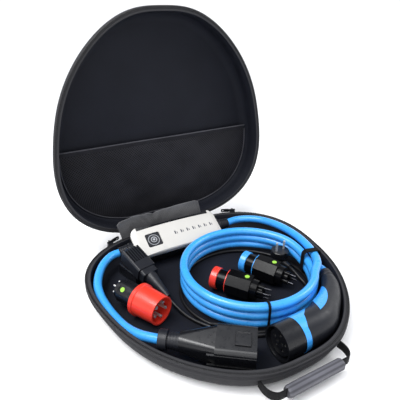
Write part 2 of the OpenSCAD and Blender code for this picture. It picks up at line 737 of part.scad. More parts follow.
// The vehicle plug: nose, blue band, swept grip with its inlay, and the cable's boot
hand_radii = [nose_d / 2, nose_d / 2 - 1, hand_d / 2 + 4, hand_d / 2, hand_d / 2 - 4, hand_d / 2 - 7];
hand_line = spline(hand_route, hand_steps);
function hand_rings(grow) =
    [for (i = [0 : len(hand_line) - 1])
        let (k = min(floor(i / hand_steps), len(hand_radii) - 2), u = i / hand_steps - k)
        let (r = hand_radii[k] * (1 - u) + hand_radii[k + 1] * u + grow)
        section(hand_line[i], i == 0 ? [1, 0, 0] : heading(hand_line, i), r, r, 24)];
band_x = nose_tip_x + nose_l;
band_stem = 11;
band_spread = 50;
module band_plan() {
    stem_x = band_x + band_stem;
    translate([0, plug_y]) polygon([[band_x - 1, nose_d], [band_x + band_spread, nose_d],
        [band_x + 0.9 * band_spread, 0.45 * nose_d], [stem_x + band_stem, 0.12 * nose_d],
        [stem_x, -0.25 * nose_d], [stem_x, -nose_d], [band_x - 1, -nose_d]]);
}
inlay_at = [106, -148];
inlay_l = 96;
inlay_w = 24;
inlay_yaw = 45;
module inlay_plan() {
    r = (inlay_l * inlay_l + inlay_w * inlay_w) / (4 * inlay_w);
    half = asin(inlay_l / 2 / r);
    steps = 8;
    arc = [for (i = [-steps : steps - 1])
        let (a = half * i / steps) [r * sin(a), r * (cos(a) - 1) + inlay_w / 2]];
    translate(inlay_at) rotate(inlay_yaw) polygon(concat(arc, -arc));
}
inlay_t = 2;
module plug_band() {
    color("#3f8fe6") intersection() {
        skin(hand_rings(band_proud));
        linear_extrude(4 * plug_z) band_plan();
    }
}
module plug_grip() {
    color("#19191c") difference() {
        skin(hand_rings(0));
        translate([0, 0, -1]) linear_extrude(4 * plug_z) band_plan();
        difference() {
            translate([0, 0, plug_z]) linear_extrude(2 * plug_z) inlay_plan();
            skin(hand_rings(-inlay_t));
        }
    }
}
module plug_inlay() {
    color("#3f8fe6") intersection() {
        difference() {
            skin(hand_rings(0.4));
            skin(hand_rings(-inlay_t));
        }
        translate([0, 0, plug_z]) linear_extrude(2 * plug_z) inlay_plan();
    }
}
contact_r = 3.2;
module at_plug_contacts() {
    for (i = [0 : 4]) rotate([72 * i, 0, 0]) translate([0, 0, core_d / 2 - 9]) children();
    for (y = [-5, 5]) translate([0, y, 0]) children();
}
module in_nose() { translate([nose_tip_x, plug_y, plug_z]) children(); }
module plug_nose() {
    wall = 3;
    color("#151517") in_nose() difference() {
        rod(0, nose_l, nose_d / 2);
        difference() {
            rod(-1, nose_depth, nose_d / 2 - wall);
            rod(-2, nose_depth + 1, core_d / 2);
        }
        rod(-1, 5, core_d / 2 + 0.5);
        at_plug_contacts() rod(-1, nose_depth, contact_r);
    }
}
module plug_contacts() {
    color("#b9a05a") in_nose() at_plug_contacts() difference() {
        rod(8, nose_depth, contact_r);
        rod(7, nose_depth - 4, contact_r - 1);
    }
}
module plug_gland() {
    r = hand_d / 2 - 8;
    tip = cable_d / 2 + 1.5;
    last = len(hand_line) - 1;
    along = heading(hand_line, last);
    color("#1d1d20") translate(hand_line[last] + 0.1 * along) rotate([0, 0, atan2(along[1], along[0])])
        turned([[0, 0], [r, 0], [r, 4], [r - 1, 5], [r, 7], [r - 0.6, 12], [r - 1.6, 13], [r - 1, 15],
            [tip, hand_gland_l], [0, hand_gland_l]]);
}

// The red five-pin adapter, along X from its rear contacts to its collar's mouth
module in_five_pin() {
    translate([five_pin_at[0], five_pin_at[1], rest_z + flange_d / 2])
        rotate([five_pin_roll, 0, five_pin_yaw]) children();
}
dot_r = 4.5;
dot_t = 1;
dot_flat = adapter_d / 2 - 1.5;
flange_l = 8;
pin_sink = 3;
module five_pin_body() {
    r = adapter_d / 2;
    color("#1e1e22") in_five_pin() difference() {
        turned([[0, 0], [r - 5, 0], [r - 4, 1], [r - 4, 8], [r, 9], [r, adapter_l - 9],
            [r + 2, adapter_l - 7], [r + 2, adapter_l], [0, adapter_l]]);
        translate([adapter_l / 2 - 12, -r, dot_flat]) cube([18, 2 * r, r]);
    }
}
module five_pin_collar() {
    mouth_r = collar_d / 2;
    bore_r = mouth_r - collar_wall;
    x0 = adapter_l + flange_l + 10;
    x1 = adapter_l + collar_l;
    color("#e2402f") in_five_pin() {
        turned([[0, adapter_l], [flange_d / 2 - 1, adapter_l], [flange_d / 2, adapter_l + 1],
            [flange_d / 2, adapter_l + flange_l], [mouth_r + 2, adapter_l + flange_l + 1], [mouth_r, x1],
            [bore_r, x1], [bore_r, x0], [0, x0]]);
    }
}
module five_pin_contacts() {
    x0 = adapter_l + flange_l + 10;
    color("#d8d8dc") in_five_pin() {
        for (i = [0 : 4]) rotate([72 * i, 0, 0]) {
            rod(x0, adapter_l + collar_l - pin_sink, i == 0 ? 3.4 : 2.8, 0, collar_d * 0.27);
            rod(-9, 0, 1.8, 0, adapter_d / 4);
        }
    }
}

// The two small adapters, along X from the coloured ring to the rear contacts
module in_small(at, yaw) { translate([at[0], at[1], rest_z + small_s / 2]) rotate([0, 0, yaw]) children(); }
module in_red() { in_small(red_adapter_at, red_adapter_yaw) children(); }
module in_blue() { in_small(blue_adapter_at, blue_adapter_yaw) children(); }
line_l = 2;
small_x0 = ring_l + neck_l;
small_x1 = small_x0 + small_l;
small_step_l = 12;
small_tip_l = 12;
small_end = small_x1 + small_step_l + small_tip_l;
pin_ring = 9;
shroud_r = 4.8;
module small_body(count) {
    r8 = small_s / 2 / cos(22.5);
    difference() {
        union() {
            rod(ring_l, small_x0, neck_d / 2);
            translate([small_x0, 0, 0]) rotate([22.5, 0, 0]) rotate([0, 90, 0])
                cylinder(h = small_l, r = r8, $fn = 8);
            turned([[0, small_x1], [small_s / 2 - 4, small_x1], [small_s / 2 - 5, small_x1 + small_step_l],
                [pin_ring, small_x1 + small_step_l], [pin_ring, small_end - 3], [0, small_end - 3]]);
            for (i = [0 : count - 1]) rotate([360 * i / count, 0, 0])
                rod(small_x1 + small_step_l - 1, small_end, shroud_r, 0, pin_ring);
        }
        for (a = [0 : 90 : 270]) rotate([a, 0, 0])
            translate([small_x0 + small_l * 0.56, -small_s, small_s / 2 - 0.8]) cube([1.2, 2 * small_s, 2]);
    }
}
module small_rings() {
    turned([[ring_d / 2 - 5, 0], [ring_d / 2 - 1, 0], [ring_d / 2, 1], [ring_d / 2, ring_l - 1],
        [ring_d / 2 - 1, ring_l], [ring_d / 2 - 5, ring_l]]);
    turned([[neck_d / 2 + 0.1, small_x0 - line_l], [small_s / 2 - 0.4, small_x0 - line_l],
        [small_s / 2 - 0.4, small_x0], [neck_d / 2 + 0.1, small_x0]]);
    translate([ring_l / 2 - 4, -5, ring_d / 2 - 1.5]) cube([8, 10, 3]);
}
module red_adapter_body() { color("#18181b") in_red() small_body(5); }
module red_adapter_rings() { color("#e2402f") in_red() small_rings(); }
module blue_adapter_body() { color("#18181b") in_blue() small_body(3); }
module blue_adapter_rings() { color("#2f7fe0") in_blue() small_rings(); }
module small_contacts(count) {
    for (i = [0 : count - 1]) rotate([360 * i / count, 0, 0]) {
        rod(3, ring_l, 2.4, 0, ring_d * 0.22);
        rod(small_end, small_end + 12, 2.2, 0, pin_ring);
    }
}
module small_adapter_contacts() {
    color("#c9c9ce") {
        in_red() small_contacts(5);
        in_blue() small_contacts(3);
    }
}
module adapter_dots() {
    color("#5fcf4a") {
        in_five_pin() translate([adapter_l / 2 - 3, 0, dot_flat]) cylinder(h = dot_t, r = dot_r);
        in_red() translate([small_x1 - 11, 0, small_s / 2]) cylinder(h = dot_t, r = dot_r);
        in_blue() translate([small_x1 - 11, 0, small_s / 2]) cylinder(h = dot_t, r = dot_r);
    }
}

// The adapter lead: ribbed block with its tapered sleeve, thin cable and mains plug, and the spare adapter
neck_block_l = 14;
sleeve_l = 58;
module in_ribbed() { translate(ribbed_at) rotate([0, ribbed_pitch, ribbed_yaw]) children(); }
module in_spare() {
    translate([spare_at[0], spare_at[1], rest_z + spare_t / 2]) rotate([0, 0, spare_yaw]) children();
}
module block(x0, x1, w, t, r) {
    translate([x0, 0, 0]) rotate([90, 0, 90]) linear_extrude(x1 - x0) rounded(w, t, r);
}
rib_l = 38;
rib_depth = 6;
module ribbed_adapter() {
    pitch = (block_w - 8) / rib_count;
    groove = 0.55 * pitch;
    x1 = block_l + neck_block_l;
    color("#232327") in_ribbed() {
        difference() {
            block(0, block_l, block_w, block_t, 5);
            for (i = [0 : rib_count - 1])
                translate([-1, (i + 0.5) * pitch - (block_w - 8) / 2 - groove / 2, block_t / 2 - rib_depth])
                    cube([rib_l + 1, groove, rib_depth + 1]);
        }
        block(block_l, x1, block_w - 6, block_t - 4, 5);
        turned([[0, x1], [block_t / 2 - 2, x1], [thin_d / 2 + 2, x1 + sleeve_l], [0, x1 + sleeve_l]]);
    }
}
spare_w = 36;
spare_l = 60;
module spare_adapter() {
    color("#202024") in_spare() {
        block(0, spare_l, spare_w, spare_t, 4);
        turned([[0, spare_l], [spare_t / 2 - 2, spare_l], [spare_t / 2 - 2, spare_l + 8],
            [6, spare_l + 34], [0, spare_l + 34]]);
    }
}
module adapter_blades() {
    color("#c9c9ce") {
        in_ribbed() for (y = [-9, 0, 9]) rod(-12, 0, 2, y, y == 0 ? 4 : 0);
        in_spare() for (y = [-9, 0, 9]) rod(-12, 0, 2, y, y == 0 ? 4 : 0);
    }
}
module thin_lead() { color("#2a2a2e") cord(thin_lead_route, thin_d, 8); }
module thin_tail() { color("#2a2a2e") cord(thin_tail_route, thin_d, 8); }
module thin_coil() {
    color("#2a2a2e") translate([thin_coil_at[0], thin_coil_at[1], thin_coil_z + thin_d / 2]) rotate_extrude()
        for (side = [-1, 1]) translate([thin_coil_r + side * (thin_d / 2 - 0.1), 0]) circle(d = thin_d);
}
mains_plug_z = thin_coil_z + thin_d + rest_gap;
module in_mains_plug() { translate([mains_plug_at[0], mains_plug_at[1], mains_plug_z]) children(); }
module mains_plug() {
    r = plug_d / 2;
    boot = 24;
    color("#18181b") in_mains_plug() difference() {
        union() {
            rotate_extrude() polygon([[0, 0], [r - 7, 0], [r - 4, 3], [r - 3, 16], [r, 19], [r, plug_h - 1],
                [r - 1, plug_h], [0, plug_h]]);
            translate([0, 8 - r, 9.9]) rotate([90, 0, 0]) cylinder(h = boot, r1 = 7, r2 = thin_d / 2 + 1.5);
        }
        for (side = [-1, 1]) translate([-3, side * r - 2, 21]) cube([6, 4, plug_h]);
    }
}
module mains_plug_pins() {
    pin_span = 19;
    color("#d0d0d4") in_mains_plug() for (side = [-1, 1]) translate([side * pin_span / 2, 0, plug_h])
        cylinder(h = plug_pin_l, r = 2.4);
}

base_shell();
base_zip_band();
base_zip_teeth();
lid_shell();
lid_zip_band();
lid_zip_teeth();
mesh_pocket();
pocket_binding();
hinge_strip();
hinge_flap();
zip_sliders();
zip_pull_left();
zip_pull_right();
handle_strap();
handle_grip();
box_housing();
box_cover();
button_panel();
mode_button();
status_lights();
circuit_board();
power_relays();
fault_sensor();
box_screws();
supply_gland();
lead_gland();
supply_cable();
coupler_boot();
coupler_body();
release_button();
coupler_contacts();
vehicle_lead();
vehicle_coil();
vehicle_tail();
coil_tie_side();
coil_tie_front();
plug_gland();
plug_grip();
plug_inlay();
plug_band();
plug_nose();
plug_contacts();
five_pin_body();
five_pin_collar();
five_pin_contacts();
red_adapter_body();
red_adapter_rings();
blue_adapter_body();
blue_adapter_rings();
small_adapter_contacts();
adapter_dots();
ribbed_adapter();
spare_adapter();
adapter_blades();
thin_lead();
thin_coil();
thin_tail();
mains_plug();
mains_plug_pins();
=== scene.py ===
"""Looks of a portable charging set for an electric car, packed in its open zip case.

Sizes below are millimetres in the case's own frame, as in the part's source. Pieces are made in metres."""
import math

import bpy
import numpy as np
from mathutils import Matrix, Vector


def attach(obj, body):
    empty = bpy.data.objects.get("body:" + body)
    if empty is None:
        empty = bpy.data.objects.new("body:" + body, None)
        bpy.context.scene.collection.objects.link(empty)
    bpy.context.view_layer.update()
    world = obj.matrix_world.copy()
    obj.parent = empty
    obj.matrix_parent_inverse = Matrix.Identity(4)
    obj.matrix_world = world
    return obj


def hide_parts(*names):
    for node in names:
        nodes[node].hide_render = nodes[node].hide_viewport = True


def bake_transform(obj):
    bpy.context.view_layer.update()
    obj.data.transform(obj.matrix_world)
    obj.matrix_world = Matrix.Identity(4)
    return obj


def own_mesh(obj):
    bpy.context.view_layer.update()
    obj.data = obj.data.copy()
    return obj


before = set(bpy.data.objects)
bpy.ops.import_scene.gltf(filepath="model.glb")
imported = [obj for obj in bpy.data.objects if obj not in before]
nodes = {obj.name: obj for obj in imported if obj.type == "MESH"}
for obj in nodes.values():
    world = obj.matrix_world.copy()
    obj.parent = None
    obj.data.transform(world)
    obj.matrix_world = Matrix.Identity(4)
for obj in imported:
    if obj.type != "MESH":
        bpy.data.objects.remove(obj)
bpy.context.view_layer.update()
MM = 0.001


# Camera

# Fitted to the case's outline in the photograph: place in metres, axes, lens and sensor in millimetres
CAMERA_AT = (-0.3553, -0.5440, 0.5213)
CAMERA_RIGHT = (0.8753, -0.4836, 0.0)
CAMERA_UP = (0.2120, 0.3836, 0.8988)
CAMERA_BACK = (-0.4347, -0.7867, 0.4383)
CAMERA_LENS, CAMERA_SENSOR = 36.54, 36.0


def make_camera():
    """The photograph's view: a normal lens, from the left in front of the case and above it."""
    data = bpy.data.cameras.new("camera")
    data.sensor_width = CAMERA_SENSOR
    data.lens = CAMERA_LENS
    data.clip_start = 0.01
    camera = bpy.data.objects.new("camera", data)
    turn = Matrix((CAMERA_RIGHT, CAMERA_UP, CAMERA_BACK)).transposed().to_4x4()
    camera.matrix_world = Matrix.Translation(CAMERA_AT) @ turn
    bpy.context.scene.collection.objects.link(camera)
    bpy.context.scene.camera = camera


make_camera()


# Node materials

def rgb(red, green, blue):
    """A display colour of 0 to 255 a channel as linear light."""
    def linear(c):
        c /= 255.0
        return c / 12.92 if c <= 0.04045 else ((c + 0.055) / 1.055) ** 2.4
    return (linear(red), linear(green), linear(blue), 1.0)


def scaled(colour, by):
    """The colour made lighter or darker."""
    return tuple(min(1.0, c * by) for c in colour[:3]) + (1.0,)


def grey(value):
    """An even grey, in linear light."""
    return (value, value, value, 1.0)


def new_material(name, **settings):
    """A material with one Principled surface. The settings go straight on its sockets."""
    mat = bpy.data.materials.new(name)
    mat.use_nodes = True
    shader = mat.node_tree.nodes["Principled BSDF"]
    for socket, value in settings.items():
        shader.inputs[socket.replace("_", " ")].default_value = value
    return mat, mat.node_tree, shader


def place(tree, stretch=(1.0, 1.0, 1.0), turn=0.0, source="Object"):
    """Coordinates in metres on the object, or along its rows for source UV."""
    where = tree.nodes.new("ShaderNodeTexCoord")
    fit = tree.nodes.new("ShaderNodeMapping")
    fit.inputs["Scale"].default_value = stretch
    fit.inputs["Rotation"].default_value = (0.0, 0.0, turn)
    tree.links.new(where.outputs[source], fit.inputs["Vector"])
    return fit.outputs["Vector"]


def noise(tree, scale, detail=4.0, stretch=(1.0, 1.0, 1.0), source="Object"):
    """Cloudy values, finer for a larger scale."""
    node = tree.nodes.new("ShaderNodeTexNoise")
    node.inputs["Scale"].default_value = scale
    node.inputs["Detail"].default_value = detail
    tree.links.new(place(tree, stretch, 0.0, source), node.inputs["Vector"])
    return node.outputs["Fac"]


def bands(tree, pitch, direction, turn=0.0, source="UV"):
    """Even sine bands, one each pitch millimetres."""
    node = tree.nodes.new("ShaderNodeTexWave")
    node.bands_direction = direction
    node.inputs["Scale"].default_value = math.pi / 10.0 / (pitch * MM)
    tree.links.new(place(tree, (1.0, 1.0, 1.0), turn, source), node.inputs["Vector"])
    return node.outputs["Fac"]


def ramp(tree, factor, low, high, start=0.3, end=0.7):
    """A blend of two colours as the factor goes from start to end."""
    node = tree.nodes.new("ShaderNodeValToRGB")
    first, last = node.color_ramp.elements
    first.position, first.color = start, low
    last.position, last.color = end, high
    tree.links.new(factor, node.inputs["Fac"])
    return node.outputs["Color"]


def combine(tree, first, second, how="MULTIPLY"):
    """Two values joined by one Math node."""
    node = tree.nodes.new("ShaderNodeMath")
    node.operation = how
    tree.links.new(first, node.inputs[0])
    tree.links.new(second, node.inputs[1])
    return node.outputs["Value"]


def tint(tree, under, over, factor):
    """The colour under, multiplied by the colour over."""
    node = tree.nodes.new("ShaderNodeMix")
    node.data_type = "RGBA"
    node.blend_type = "MULTIPLY"
    node.inputs["Factor"].default_value = factor
    tree.links.new(under, node.inputs["A"])
    tree.links.new(over, node.inputs["B"])
    return node.outputs["Result"]


def bump(tree, shader, height, strength, depth):
    """Relief of depth millimetres."""
    node = tree.nodes.new("ShaderNodeBump")
    node.inputs["Strength"].default_value = strength
    node.inputs["Distance"].default_value = depth * MM
    tree.links.new(height, node.inputs["Height"])
    tree.links.new(node.outputs["Normal"], shader.inputs["Normal"])


def moulded(name, colour, rough, grain=0.05, mottle=0.9, grain_scale=1400.0, **settings):
    """Moulded plastic or rubber: fine grain, slightly uneven tone and gloss."""
    mat, tree, shader = new_material(name, **settings)
    tone = ramp(tree, noise(tree, 30.0), scaled(colour, mottle), colour)
    tree.links.new(tone, shader.inputs["Base Color"])
    gloss = ramp(tree, noise(tree, 140.0), grey(rough * 0.85), grey(min(1.0, rough * 1.15)))
    tree.links.new(gloss, shader.inputs["Roughness"])
    bump(tree, shader, noise(tree, grain_scale, 2.0), 0.35, grain)
    return mat


def metal(name, colour, rough):
    """Turned or stamped metal with fine scratches."""
    mat, tree, shader = new_material(name, Metallic=1.0)
    tone = ramp(tree, noise(tree, 220.0, 6.0), scaled(colour, 0.75), colour)
    tree.links.new(tone, shader.inputs["Base Color"])
    gloss = ramp(tree, noise(tree, 300.0, 5.0, (1.0, 1.0, 6.0)), grey(rough * 0.7), grey(rough * 1.4))
    tree.links.new(gloss, shader.inputs["Roughness"])
    bump(tree, shader, noise(tree, 900.0, 3.0), 0.2, 0.02)
    return mat


def woven(name, colour, pitch, rough, turn=0.0, relief=0.25, shade=0.55, **settings):
    """Cloth of crossing yarns, a little faded in patches, with painted shade in the gaps between the yarns.
    """
    mat, tree, shader = new_material(name, **settings)
    weave = combine(tree, bands(tree, pitch, "X", turn), bands(tree, pitch, "Y", turn), "MAXIMUM")
    patches = ramp(tree, noise(tree, 14.0, 5.0), scaled(colour, 0.86), scaled(colour, 1.08))
    # Painted shade: the colour is darkened where the weave's bump sinks between the yarns
    thread_gap_shade = ramp(tree, weave, grey(shade), grey(1.0), 0.3, 0.9)
    tree.links.new(tint(tree, patches, thread_gap_shade, 1.0), shader.inputs["Base Color"])
    gloss = ramp(tree, weave, grey(min(1.0, rough + 0.1)), grey(rough))
    tree.links.new(gloss, shader.inputs["Roughness"])
    bump(tree, shader, weave, 0.5, relief)
    return mat


def ribbed(name, colour, pitch, direction, rough, source="UV", relief=0.4, **settings):
    """Webbing or a sleeve with ribs along one direction, with painted shade in the grooves between the ribs.
    """
    mat, tree, shader = new_material(name, **settings)
    ribs = bands(tree, pitch, direction, 0.0, source)
    patches = ramp(tree, noise(tree, 40.0, 5.0), scaled(colour, 0.85), scaled(colour, 1.1))
    # Painted shade: the colour is darkened in the grooves, where the ribs' bump sinks
    groove_shade = ramp(tree, ribs, grey(0.55), grey(1.0), 0.1, 0.6)
    tree.links.new(tint(tree, patches, groove_shade, 1.0), shader.inputs["Base Color"])
    gloss = ramp(tree, noise(tree, 200.0), grey(rough * 0.9), grey(min(1.0, rough * 1.1)))
    tree.links.new(gloss, shader.inputs["Roughness"])
    bump(tree, shader, ribs, 0.6, relief)
    return mat


def net(name, thread, shaded_hole, pitch):
    """Knitted pocket net: a diagonal lattice of yarn. Its openings are painted near-black: the dark lining
    behind them, with painted shade over it.
    """
    mat, tree, shader = new_material(name, Specular_IOR_Level=0.14)
    lattice = combine(tree, bands(tree, pitch, "X", math.pi / 4), bands(tree, pitch, "Y", math.pi / 4))
    patches = ramp(tree, noise(tree, 16.0, 4.0), grey(0.55), grey(1.0), 0.35, 0.65)
    # Painted shade: the openings take the near-black of the shaded pocket behind the net
    net_hole_shading = ramp(tree, lattice, thread, shaded_hole, 0.25, 0.55)
    tree.links.new(tint(tree, net_hole_shading, patches, 0.8), shader.inputs["Base Color"])
    tree.links.new(ramp(tree, lattice, grey(0.55), grey(0.95)), shader.inputs["Roughness"])
    bump(tree, shader, lattice, 0.6, -0.4)
    return mat


def ringed(name, colour, mark, middle, rings, rough):
    """Moulded plastic with pale printed rings about a point. rings are (inner, outer) radii."""
    mat, tree, shader = new_material(name, Roughness=rough)
    away = tree.nodes.new("ShaderNodeVectorMath")
    away.operation = "DISTANCE"
    away.inputs[1].default_value = [c * MM for c in middle]
    tree.links.new(place(tree), away.inputs[0])
    reach = rings[-1][1] * 1.5 * MM
    share = tree.nodes.new("ShaderNodeMath")
    share.operation = "DIVIDE"
    share.inputs[1].default_value = reach
    tree.links.new(away.outputs["Value"], share.inputs[0])
    node = tree.nodes.new("ShaderNodeValToRGB")
    stops = node.color_ramp.elements
    stops[0].color = stops[1].color = colour
    for inner, outer in rings:
        for radius, tone in ((inner - 0.2, colour), (inner, mark), (outer, mark), (outer + 0.2, colour)):
            stops.new(max(0.001, radius * MM / reach)).color = tone
    tree.links.new(share.outputs["Value"], node.inputs["Fac"])
    grime = ramp(tree, noise(tree, 60.0), grey(0.88), grey(1.0))
    tree.links.new(tint(tree, node.outputs["Color"], grime, 1.0), shader.inputs["Base Color"])
    bump(tree, shader, noise(tree, 1200.0, 2.0), 0.3, 0.02)
    return mat


# Middle of the mode button's face, which the printed rings go round
BUTTON_TOP = (-78.0, 163.7, 59.1)
# Cloth that hardly shines
MATT = {"Specular_IOR_Level": 0.14}

shell_cloth = woven("shell_cloth", rgb(54, 54, 57), 1.1, 0.7, Specular_IOR_Level=0.25)
lining_cloth = woven("lining_cloth", rgb(26, 28, 36), 0.9, 0.6, math.pi / 4, **MATT)
band_cloth = woven("band_cloth", rgb(50, 50, 53), 1.6, 0.66, Specular_IOR_Level=0.25)
stitch_thread = ribbed("stitch_thread", rgb(58, 58, 62), 0.8, "X", 0.7, "Object", 0.1, **MATT)
zip_teeth_plastic = moulded("zip_teeth_plastic", rgb(20, 20, 22), 0.4)
binding_cloth = ribbed("binding_cloth", rgb(34, 34, 39), 1.4, "X", 0.65, **MATT)
piping_cloth = ribbed("piping_cloth", rgb(80, 80, 86), 1.6, "Y", 0.6, **MATT)
# The second colour is the net's openings: the dark lining behind the net, darkened further as painted shade
pocket_net = net("pocket_net", rgb(40, 40, 45), rgb(5, 5, 7), 4.2)
flap_cloth = woven("flap_cloth", rgb(112, 112, 114), 1.3, 0.75, **MATT)
hinge_cloth = woven("hinge_cloth", rgb(34, 34, 37), 1.2, 0.72, **MATT)
webbing_cloth = ribbed("webbing_cloth", rgb(20, 20, 22), 2.0, "Y", 0.7, **MATT)
grip_rubber = ribbed("grip_rubber", rgb(92, 92, 99), 7.5, "X", 0.5, Specular_IOR_Level=0.3)
tie_cloth = woven("tie_cloth", rgb(17, 17, 19), 1.0, 0.75, **MATT)
blue_jacket = moulded("blue_jacket", rgb(60, 160, 240), 0.3, 0.03, 0.9, 700.0, Coat_Weight=0.2)
black_jacket = moulded("black_jacket", rgb(18, 18, 20), 0.42, 0.03, Specular_IOR_Level=0.3)
white_plastic = moulded("white_plastic", rgb(197, 195, 190), 0.36, 0.02, 0.97)
black_plastic = moulded("black_plastic", rgb(17, 18, 22), 0.3, 0.05)
soft_black = moulded("soft_black", rgb(26, 28, 34), 0.42, 0.1, Specular_IOR_Level=0.35)
gloss_black = moulded("gloss_black", rgb(9, 9, 11), 0.2, 0.01, Specular_IOR_Level=0.13)
panel_black = ringed("panel_black", rgb(34, 35, 39), rgb(150, 152, 156), BUTTON_TOP, ((11.4, 12.8),), 0.28)
button_face = ringed("button_face", rgb(40, 41, 46), rgb(176, 178, 182), BUTTON_TOP,
                     ((0.9, 2.6), (5.4, 6.8)), 0.3)
lens_grey = moulded("lens_grey", rgb(78, 81, 90), 0.2, 0.01)
blue_plastic = moulded("blue_plastic", rgb(60, 158, 240), 0.3, 0.03, 0.92, Coat_Weight=0.2)
red_plastic = moulded("red_plastic", rgb(228, 58, 42), 0.32, 0.03, Coat_Weight=0.15)
green_plastic = moulded("green_plastic", rgb(150, 204, 70), 0.4, 0.02)
board_green = moulded("board_green", rgb(28, 84, 54), 0.5, 0.03)
ferrite = moulded("ferrite", rgb(58, 56, 58), 0.7, 0.08)
steel = metal("steel", rgb(186, 188, 192), 0.34)
nickel = metal("nickel", rgb(214, 212, 206), 0.22)
bright_pins = metal("bright_pins", rgb(236, 235, 232), 0.5)
dark_nickel = metal("dark_nickel", rgb(62, 62, 66), 0.24)
zip_metal = metal("zip_metal", rgb(84, 85, 90), 0.34)


# Mesh makers

def make_piece(name, verts, faces, body, material, uvs=None, sharp=40.0):
    """A mesh object of millimetre points that rides on a body."""
    mesh = bpy.data.meshes.new(name)
    mesh.from_pydata((np.asarray(verts, float) * MM).tolist(), [], faces)
    mesh.polygons.foreach_set("use_smooth", [True] * len(mesh.polygons))
    mesh.set_sharp_from_angle(angle=math.radians(sharp))
    if uvs is not None:
        layer = mesh.uv_layers.new(name="along")
        layer.data.foreach_set("uv", (np.asarray(uvs, float) * MM).ravel())
    mesh.materials.append(material)
    obj = bpy.data.objects.new(name, mesh)
    bpy.context.scene.collection.objects.link(obj)
    if body:
        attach(obj, body)
    return obj


def grid(rows, closed=False, caps=False):
    """Points, quads and corner coordinates of a grid of rows. closed joins each row's two ends."""
    rows = np.asarray(rows, float)
    count, width = rows.shape[:2]
    columns = width if closed else width - 1
    around = np.roll(rows, -1, axis=1) - rows
    steps = np.linalg.norm(around, axis=2).max(axis=0)
    along_u = np.concatenate([[0.0], np.cumsum(steps)])
    rise = np.linalg.norm(np.diff(rows, axis=0), axis=2).max(axis=1)
    along_v = np.concatenate([[0.0], np.cumsum(rise)])
    faces, uvs = [], []
    for i in range(count - 1):
        for j in range(columns):
            k = (j + 1) % width
            faces.append((i * width + j, i * width + k, (i + 1) * width + k, (i + 1) * width + j))
            u0, u1, v0, v1 = along_u[j], along_u[j + 1], along_v[i], along_v[i + 1]
            uvs += [(u0, v0), (u1, v0), (u1, v1), (u0, v1)]
    if caps:
        for first, flip in ((0, True), ((count - 1) * width, False)):
            loop = list(range(first, first + width))
            faces.append(loop[::-1] if flip else loop)
            uvs += [(0.0, 0.0)] * width
    return rows.reshape(-1, 3), faces, uvs


def joined(parts):
    """One set of points, faces and corner coordinates from several."""
    verts, faces, uvs, start = [], [], [], 0
    for points, polygons, corners in parts:
        verts.append(points)
        faces += [tuple(start + i for i in polygon) for polygon in polygons]
        uvs += corners
        start += len(points)
    return np.concatenate(verts), faces, uvs


def spline(points, step):
    """Points about step apart on a smooth curve through the given ones."""
    p = np.asarray(points, float)
    p = np.vstack([2 * p[0] - p[1], p, 2 * p[-1] - p[-2]])
    out = []
    for a, b, c, d in zip(p, p[1:], p[2:], p[3:]):
        count = max(2, int(np.linalg.norm(c - b) / step))
        for t in np.arange(count) / count:
            out.append(0.5 * (2 * b + (c - a) * t + (2 * a - 5 * b + 4 * c - d) * t ** 2
                              + (3 * b - a - 3 * c + d) * t ** 3))
    out.append(p[-2])
    return np.array(out)


def sweep(path, section, up=(0.0, 0.0, 1.0), turning=False):
    """Rings of a section of (side, up) points along a path. turning carries the first frame along it."""
    path = np.asarray(path, float)
    tangent = np.gradient(path, axis=0)
    tangent /= np.linalg.norm(tangent, axis=1)[:, None]
    rings, side = [], np.cross(tangent[0], up)
    for at, ahead in zip(path, tangent):
        side = side - ahead * side.dot(ahead) if turning else np.cross(ahead, up)
        side = side / np.linalg.norm(side)
        rise = np.cross(side, ahead)
        rings.append([at + side * s + rise * r for s, r in section])
    return np.array(rings)


def circle(radius, count=20):
    """A round section of (side, up) points."""
    turn = np.arange(count) * 2 * math.pi / count
    return [(radius * math.cos(a), radius * math.sin(a)) for a in turn]


def rounded_box(width, height, radius, steps=3):
    """A rectangle's outline with rounded corners."""
    out = []
    for quarter, (sx, sy) in enumerate(((1, 1), (-1, 1), (-1, -1), (1, -1))):
        for k in range(steps + 1):
            a = math.pi / 2 * (quarter + k / steps)
            out.append((sx * (width / 2 - radius) + radius * math.cos(a),
                        sy * (height / 2 - radius) + radius * math.sin(a)))
    return out


def ease(t):
    """A smooth step from 0 to 1."""
    t = np.clip(t, 0.0, 1.0)
    return t * t * (3 - 2 * t)


# Cables

CABLE_D = 16.5
THIN_D = 7.0
SUPPLY_ROUTE = [[-150, 178, 40], [-168, 176, 40], [-186, 164, 39], [-202, 145, 38], [-216, 120, 36],
                [-225, 92, 33], [-227, 58, 30], [-222, 15, 27], [-213, -25, 27], [-199, -58, 31],
                [-176, -88, 36]]
LEAD_ROUTE = [[114, 178, 40], [140, 176, 43], [165, 163, 46], [186, 140, 49], [199, 108, 52],
              [206, 72, 54], [207, 34, 55], [202, -4, 55], [191, -40, 55], [173, -70, 55], [150, -88, 55]]
TAIL_ROUTE = [[140, 90, 22], [166, 64, 22], [185, 32, 22], [194, -4, 24], [193, -36, 29], [189, -60, 34],
              [186, -82, 36]]
COIL_AT, COIL_R = (52.0, -6.0), 128.0
COIL_TOP, COIL_PITCH = 54.95, 16.3
COIL_START, COIL_END, COIL_STEPS_AT, COIL_STEP = -40.0, -1032.6, (-340.0, -700.0), 55.0
THIN_LEAD = [[-115, 23, 21], [-110, 1, 16], [-104, -21, 11], [-96, -44, 9], [-82, -70, 9], [-62, -96, 9],
             [-38, -118, 9]]
THIN_TAIL = [[149, -16, 22], [149, -32, 21], [150, -50, 15], [151, -66, 10], [150, -80, 9]]
THIN_AT, THIN_OUTER, THIN_INNER, THIN_Z = (42.0, -16.0), 131.4, 124.6, 8.8
